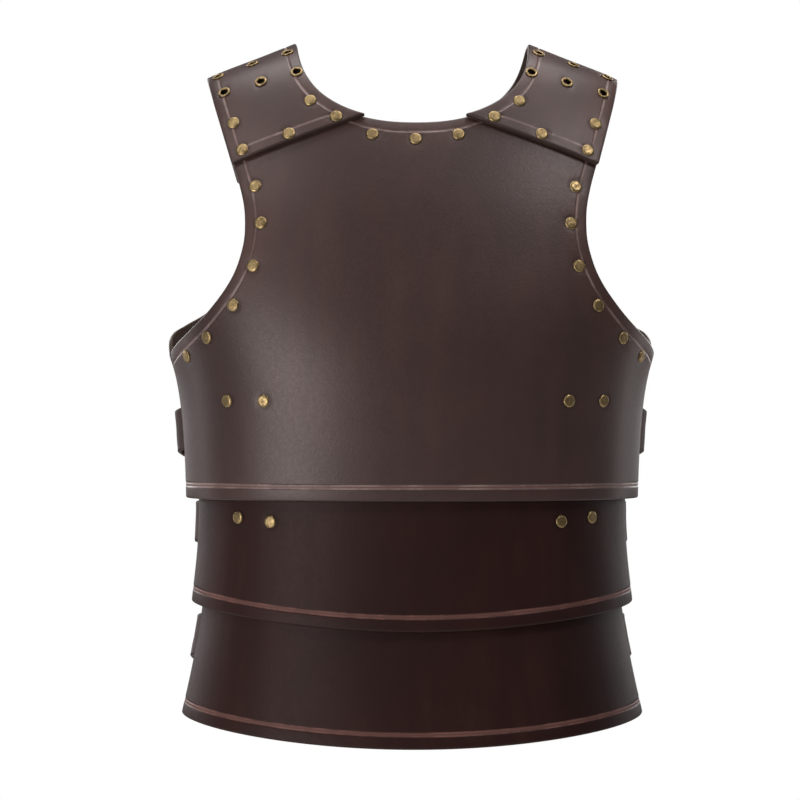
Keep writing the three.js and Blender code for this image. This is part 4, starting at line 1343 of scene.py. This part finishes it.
class CuirassFinish(PropertyGroup):
    """Colours of the leather and the brass."""

    leather_colour: colour_setting(
        "Leather", "Dye of the plates and shoulder straps", 0.036, 0.0185, 0.0165)
    lame_colour: colour_setting(
        "Lames", "Redder, duller dye of the lames", 0.0175, 0.0058, 0.0050)
    strap_colour: colour_setting(
        "Straps", "Dye of the side straps, chapes and hangers", 0.030, 0.0165, 0.0145)
    rubbed_colour: colour_setting(
        "Rubbed leather", "Redder leather where the dye is thin", 0.085, 0.036, 0.026)
    crease_colour: colour_setting(
        "Creased line", "Pale line pressed along the edges", 0.215, 0.145, 0.132)
    red_crease_colour: colour_setting(
        "Lames' lines", "Redder line pressed along the lames' hems", 0.15, 0.066, 0.055)
    band_colour: colour_setting(
        "Creased band", "Leather between the two lines of a hem", 0.12, 0.056, 0.046)
    shine_colour: colour_setting(
        "Shine", "Tint of the light the waxed leather throws back", 1.0, 0.87, 0.85)
    edge_colour: colour_setting(
        "Burnished edge", "Dark, rubbed edge of each piece", 0.026, 0.0135, 0.0105)
    flesh_colour: colour_setting(
        "Inner side", "Rough inner side of the leather", 0.075, 0.046, 0.033)
    brass_colour: colour_setting(
        "Brass", "Rubbed antique brass", 0.33, 0.235, 0.115)
    patina_colour: colour_setting(
        "Patina", "Brown film on the brass", 0.12, 0.078, 0.038)


class CuirassStudio(PropertyGroup):
    """The studio's lights."""

    key_power: power_setting(
        "Key light", "Large light in front, low at the wearer's right", 22.0)
    top_power: power_setting(
        "Top light", "Light above the shoulders", 24.0)
    shoulder_power: power_setting(
        "Shoulder lights", "Two lights above in front, at the left and the right", 9.0)
    back_power: power_setting(
        "Back lights", "Two large lights behind, at the left and the right", 17.0)
    rim_power: power_setting(
        "Side lights", "Two tall lights at both sides, behind", 4.5)


# ---------------------------------------------------------------- sheets and what they carry


def declare(piece, slot, *nodes):
    """Says what a piece rides on, what it is made of and which nodes it stands for."""
    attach(piece, "root")
    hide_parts(*nodes)


def finish_sheet(sheet, material, slot, name=None, mirror=False):
    """Makes a sheet's object, and says what it is and what it stands for."""
    name = name or sheet.name
    piece = make_piece(f"cut_{name}", sheet.points, sheet.faces, material, sheet.attributes,
                       mirror)
    declare(piece, slot, name)


def finish_pair(sheet, part, *rests_on):
    """Makes a sheet for each side; a name that it rests on may hold {side}."""
    for side in SIDES:
        finish_sheet(sheet, finish_of(part), "strap_leather",
                     f"{sheet.name}_{side}",
                     side == "right")


def pattern_spots(form, rows, lift):
    """The flat spots of rivets on both sides, from how far out and how high they are."""
    spots = []
    for x, z in rows:
        angle, height = spot_at(form, x, z, lift)
        spots += [(angle * ACROSS, height)] + ([(-angle * ACROSS, height)] if x else [])
    return spots


class CUIRASS_OT_plates(Operator):
    """Build the breast plate and the back plate"""

    bl_idname = "cuirass.plates"
    bl_label = "Breast and Back Plates"

    def execute(self, context):
        plate = context.scene.cuirass_sizes.plate_leather / MM
        leather = finish_of("leather")
        seats = pattern_spots(CHEST_FRONT,
                              NECK_RIVETS + ARMHOLE_RIVETS + SIDE_RIVETS["upper"], plate)
        breast = Sheet("breast_plate", plate_sides(CHEST_FRONT, FRONT_EDGE, ARMHOLE, NECK_FRONT),
                       laid_on(CHEST_FRONT, False), plate, seats=seats, wave=WAVE)
        finish_sheet(breast, leather, "leather")
        back = Sheet("back_plate", plate_sides(CHEST_BACK, BACK_EDGE, BACK_ARMHOLE, NECK_BACK),
                     laid_on(CHEST_BACK, True), plate, wave=WAVE,
                     seats=pattern_spots(CHEST_BACK, (BACK_HANGER_RIVETS[0][1:],), plate))
        finish_sheet(back, leather, "leather")
        return {"FINISHED"}


class CUIRASS_OT_lames(Operator):
    """Build the two lames below each plate"""

    bl_idname = "cuirass.lames"
    bl_label = "Lames"

    def execute(self, context):
        plate = context.scene.cuirass_sizes.plate_leather / MM
        leather = finish_of("lame")
        rows = (("front_lame_upper", WAIST_FRONT, FRONT_EDGE, UPPER_LAME, "hanger_front", False),
                ("front_lame_lower", HIP_FRONT, FRONT_EDGE, LOWER_LAME, "hanger_front", False),
                ("back_lame_upper", WAIST_BACK, BACK_EDGE, UPPER_LAME, "hanger_back", True),
                ("back_lame_lower", HIP_BACK, BACK_EDGE, LOWER_LAME, "hanger_back", True))
        for name, form, edge, size, hanger, behind in rows:
            seats = {"front_lame_upper": SIDE_RIVETS["middle"],
                     "back_lame_upper": (BACK_HANGER_RIVETS[1][1:],)}.get(name, ())
            seats = pattern_spots(form, seats, plate)
            sheet = Sheet(name, lame_sides(form, edge, size), laid_on(form, behind), plate,
                          seats=seats, wave=WAVE)
            finish_sheet(sheet, leather, "leather")
        return {"FINISHED"}


class CUIRASS_OT_shoulder_straps(Operator):
    """Build the two straps over the shoulders, with their punched holes"""

    bl_idname = "cuirass.shoulder_straps"
    bl_label = "Shoulder Straps"

    def execute(self, context):
        place = shoulder_place()
        top = strap_top()
        shoulder = context.scene.cuirass_sizes.shoulder_leather / MM
        holes = []
        for x, z in EYELET_SPOTS:
            point, normal = stand_on(CHEST_FRONT, x, z, top)
            spot = spot_near(place, point - normal * shoulder, (STRAP_BREADTH / 2, 20))
            holes.append(flat_circle(place, spot, EYELET_HOLE, 20))
        seats = back_strap_spots(place)
        for x, z in SHOULDER_RIVETS:
            point, normal = stand_on(CHEST_FRONT, x, z, top)
            spot = spot_near(place, point - normal * shoulder, (STRAP_BREADTH / 2, 80))
            seats.append(tuple(spot))
        sides = box_sides((0, -STRAP_LENGTH), (STRAP_BREADTH, STRAP_LENGTH), 160, "border")
        sheet = Sheet("shoulder_strap", sides, place, shoulder, lattice=5.0, spacing=2.6,
                      corner=2.0, holes=holes, seats=seats)
        finish_pair(sheet, "leather", "breast_plate", "back_plate")
        return {"FINISHED"}


class CUIRASS_OT_side_straps(Operator):
    """Build the six straps that close the sides"""

    bl_idname = "cuirass.side_straps"
    bl_label = "Side Straps"

    def execute(self, context):
        thickness = context.scene.cuirass_sizes.strap_leather / MM
        for name, strap in SIDE_STRAPS.items():
            holes = [oval(*hole) for hole in STRAP_HOLES]
            sheet = Sheet(f"side_strap_{name}", strap_sides(strap), strap_place(strap), thickness,
                          lattice=4.0, spacing=2.5, corner=2.0, holes=holes)
            finish_pair(sheet, "strap", f"buckle_{name}_{{side}}")
        return {"FINISHED"}


class CUIRASS_OT_buckles(Operator):
    """Build the buckles with their prongs"""

    bl_idname = "cuirass.buckles"
    bl_label = "Buckles"

    def execute(self, context):
        for name, strap in SIDE_STRAPS.items():
            points, faces = joined(*buckle_parts(strap))
            for side in SIDES:
                piece = make_piece(f"brass_buckle_{name}_{side}", points, faces,
                                   finish_of("brass"), mirror=side == "right")
                declare(piece, "brass", f"buckle_{name}_{side}")
        return {"FINISHED"}


class CUIRASS_OT_chapes(Operator):
    """Build the folded leather that holds each buckle"""

    bl_idname = "cuirass.chapes"
    bl_label = "Chapes"

    def execute(self, context):
        for name, strap in SIDE_STRAPS.items():
            place, length = chape_place(strap)
            sides = box_sides((0, -CHAPE_HALF_WIDTH), (length, CHAPE_HALF_WIDTH))
            sheet = Sheet(f"chape_{name}", sides, place, CHAPE_THICKNESS, lattice=3.0,
                          spacing=2.0, holes=[oval(*CHAPE_SLOT)])
            finish_pair(sheet, "strap", "back_plate")
        return {"FINISHED"}


class CUIRASS_OT_hangers(Operator):
    """Build the straps inside that carry the lames"""

    bl_idname = "cuirass.hangers"
    bl_label = "Hangers"

    def execute(self, context):
        for which, hanger in HANGERS.items():
            half = HANGER_WIDTH / 2
            sides = box_sides((hanger["x"] - half, hanger["bottom"]),
                              (hanger["x"] + half, hanger["top"]))
            sheet = Sheet(f"hanger_{which}", sides, hanger_place(which),
                          context.scene.cuirass_sizes.strap_leather / MM, lattice=5.0)
            finish_pair(sheet, "strap", "breast_plate" if which == "front" else "back_plate")
        return {"FINISHED"}


class CUIRASS_OT_rivets(Operator):
    """Set a capped rivet wherever leather is joined or trimmed"""

    bl_idname = "cuirass.rivets"
    bl_label = "Rivets"

    def execute(self, context):
        sizes = context.scene.cuirass_sizes
        plate, strap = sizes.plate_leather / MM, sizes.strap_leather / MM
        shoulder = sizes.shoulder_leather / MM
        left = []

        def rivet(form, x, z, lift, grip, behind=False):
            point, normal = stand_on(form, x, z, lift - RIVET_SUNK, behind)
            left.extend(both_ends(point, normal, grip - RIVET_SUNK))

        stack = plate + GAP + shoulder
        for x, z in SHOULDER_RIVETS:
            rivet(CHEST_FRONT, x, z, stack, stack)
        place = shoulder_place()
        spots = np.array(back_strap_spots(place))
        tops = place(spots, shoulder)
        for point, normal in zip(tops, unit(tops - place(spots, 0.0))):
            left.extend(both_ends(point - normal * RIVET_SUNK, normal, stack - RIVET_SUNK))
        for x, z in NECK_RIVETS[1:] + ARMHOLE_RIVETS:
            rivet(CHEST_FRONT, x, z, plate, plate)
        inner = plate + INNER_GAP + strap
        with_hanger = inner + GAP + strap
        for name, spots in SIDE_RIVETS.items():
            for i, (x, z) in enumerate(spots):
                rivet(SIDE_STRAPS[name]["front"], x, z, plate, with_hanger if i else inner)
        for form, x, z in BACK_HANGER_RIVETS:
            rivet(form, x, z, plate, inner, True)
        spots = left + mirrored_spots(left)
        point, normal = stand_on(CHEST_FRONT, *NECK_RIVETS[0], plate - RIVET_SUNK)
        spots += both_ends(point, normal, plate - RIVET_SUNK)
        piece = grown("rivets", rivet_tree(), spots,
                      {"Cap Radius": sizes.rivet_radius, "Cap Height": sizes.rivet_height})
        numbers = {"shoulder": range(1, 6), "upper": (1, 2), "middle": (1, 2)}
        declare(piece, "brass", *[f"rivet_{name}_{i}_{side}" for name in numbers
                                  for i in numbers[name] for side in SIDES])
        return {"FINISHED"}


class CUIRASS_OT_eyelets(Operator):
    """Set the eyelets in the shoulder straps"""

    bl_idname = "cuirass.eyelets"
    bl_label = "Eyelets"

    def execute(self, context):
        sizes = context.scene.cuirass_sizes
        shoulder = sizes.shoulder_leather
        left = []
        for x, z in EYELET_SPOTS:
            point, normal = stand_on(CHEST_FRONT, x, z, strap_top() + EYELET_ABOVE)
            left.append((point, normal, 1.0, shoulder))
            under = point - normal * (shoulder / MM + EYELET_BELOW)
            left.append((under, -normal, 1.0, 0.0))
        piece = grown("eyelets", eyelet_tree(), left + mirrored_spots(left),
                      {"Ring Radius": sizes.eyelet_radius, "Barrel Depth": shoulder})
        declare(piece, "brass", *[f"eyelet_{i}_{side}" for i in range(1, 7) for side in SIDES])
        return {"FINISHED"}


# ---------------------------------------------------------------- stage

CENTRE = (-0.0088, 0.0, -0.2443)
CAMERA_DISTANCE = 2.55
CAMERA_ANGLE = -1.6
VIEW_WIDTH = 0.588  # what the picture's width covers at the middle of the object
SENSOR = 36.0
FLOOR_HEIGHT, FLOOR_RADIUS = -1.15, 30.0
DIMMED = 0.13  # what the white floor and sky give as lights, beside what they show the eye


def pointed(name, data, location):
    """Puts a light or a camera in place, turned to the middle of the cuirass."""
    thing = bpy.data.objects.new(name, data)
    thing.location = location
    away = thing.location - Vector(CENTRE)
    thing.rotation_euler = away.to_track_quat("Z", "Y").to_euler()
    bpy.context.scene.collection.objects.link(thing)
    return thing


def area_light(name, location, size, power):
    """A soft light with square corners that shines at the cuirass."""
    data = bpy.data.lights.new(name, "AREA")
    data.shape = "RECTANGLE"
    data.size, data.size_y = size
    data.energy = power
    pointed(name, data, location)


def white_to_camera(tree):
    """The strength of a floor or sky that is plain white to the eye and dimmer as a light."""
    seen = tree.nodes.new("ShaderNodeLightPath").outputs["Is Camera Ray"]
    return plus(tree, times(tree, seen, 1.0 - DIMMED), DIMMED)


class CUIRASS_OT_stage(Operator):
    """Set up the floor, the sky, the lights and the camera"""

    bl_idname = "cuirass.stage"
    bl_label = "Stage"

    def execute(self, context):
        scene, studio = context.scene, context.scene.cuirass_studio
        scene.view_settings.view_transform = "Standard"
        turn = math.radians(CAMERA_ANGLE)
        eye = (CENTRE[0] + math.sin(turn) * CAMERA_DISTANCE,
               CENTRE[1] - math.cos(turn) * CAMERA_DISTANCE, CENTRE[2])
        camera = pointed("camera", bpy.data.cameras.new("camera"), eye)
        camera.data.sensor_width = SENSOR
        camera.data.lens = SENSOR * CAMERA_DISTANCE / VIEW_WIDTH
        scene.camera = camera
        world = bpy.data.worlds.new("studio")
        world.use_nodes = True
        scene.world = world
        back = world.node_tree.nodes["Background"]
        back.inputs["Color"].default_value = (1, 1, 1, 1)
        world.node_tree.links.new(white_to_camera(world.node_tree), back.inputs["Strength"])
        area_light("key light", (-1.3, -1.5, -0.45), (1.1, 1.1), studio.key_power)
        area_light("top light", (0.0, 0.2, 1.5), (1.6, 1.0), studio.top_power)
        for side in (-1, 1):
            area_light("shoulder light", (side * 1.1, -1.1, 1.35), (0.7, 0.7),
                       studio.shoulder_power * (1.25 + 0.35 * side))
            area_light("side light", (side * 1.7, 0.75, -0.2), (0.5, 1.8), studio.rim_power)
            area_light("back light", (side * 1.2, 1.75, 0.35), (1.0, 1.2), studio.back_power)
        self.floor()
        return {"FINISHED"}

    def floor(self):
        """A pale disc that fades into the white of the sky."""
        points = [(FLOOR_RADIUS * math.cos(a), FLOOR_RADIUS * math.sin(a), FLOOR_HEIGHT)
                  for a in full_turn(64)]
        mesh = bpy.data.meshes.new("floor")
        mesh.from_pydata(points, [], [tuple(range(len(points)))])
        floor = bpy.data.objects.new("floor", mesh)
        bpy.context.scene.collection.objects.link(floor)
        tree, shader, coords = new_material("pale floor")
        shader.inputs["Base Color"].default_value = (0.82, 0.82, 0.82, 1)
        shader.inputs["Roughness"].default_value = 0.8
        glow = add_node(tree, "ShaderNodeEmission", Strength=white_to_camera(tree))
        x, y, _ = add_node(tree, "ShaderNodeSeparateXYZ", Vector=coords).outputs
        fade = ramp(tree, from_axis(tree, x, y), 0.6, 3.0)
        join = add_node(tree, "ShaderNodeMixShader", i0=fade, i1=shader.outputs[0],
                        i2=glow.outputs[0])
        tree.links.new(join.outputs[0], tree.nodes["Material Output"].inputs["Surface"])
        mesh.materials.append(bpy.data.materials["pale floor"])


# ---------------------------------------------------------------- panel and registration

OPERATORS = (CUIRASS_OT_plates, CUIRASS_OT_lames, CUIRASS_OT_shoulder_straps,
             CUIRASS_OT_side_straps, CUIRASS_OT_buckles, CUIRASS_OT_chapes, CUIRASS_OT_hangers,
             CUIRASS_OT_rivets, CUIRASS_OT_eyelets, CUIRASS_OT_stage)
SETTINGS = {"cuirass_sizes": CuirassSizes, "cuirass_finish": CuirassFinish,
            "cuirass_studio": CuirassStudio}


class CUIRASS_PT_panel(Panel):
    """Lists the cuirass's settings and its pieces"""

    bl_idname = "CUIRASS_PT_panel"
    bl_label = "Leather Cuirass"
    bl_space_type = "VIEW_3D"
    bl_region_type = "UI"
    bl_category = "Cuirass"

    def draw(self, context):
        for name in SETTINGS:
            box = self.layout.box()
            settings = getattr(context.scene, name)
            for key in settings.__annotations__:
                box.prop(settings, key)
        for operator in OPERATORS:
            self.layout.operator(operator.bl_idname)


def register():
    for each in (*SETTINGS.values(), *OPERATORS, CUIRASS_PT_panel):
        bpy.utils.register_class(each)
    for name, settings in SETTINGS.items():
        setattr(bpy.types.Scene, name, PointerProperty(type=settings))


def unregister():
    for name in SETTINGS:
        delattr(bpy.types.Scene, name)
    for each in reversed((*SETTINGS.values(), *OPERATORS, CUIRASS_PT_panel)):
        bpy.utils.unregister_class(each)


def main():
    register()
    for operator in OPERATORS:
        group, name = operator.bl_idname.split(".")
        getattr(getattr(bpy.ops, group), name)()


if __name__ == "__main__":
    main()
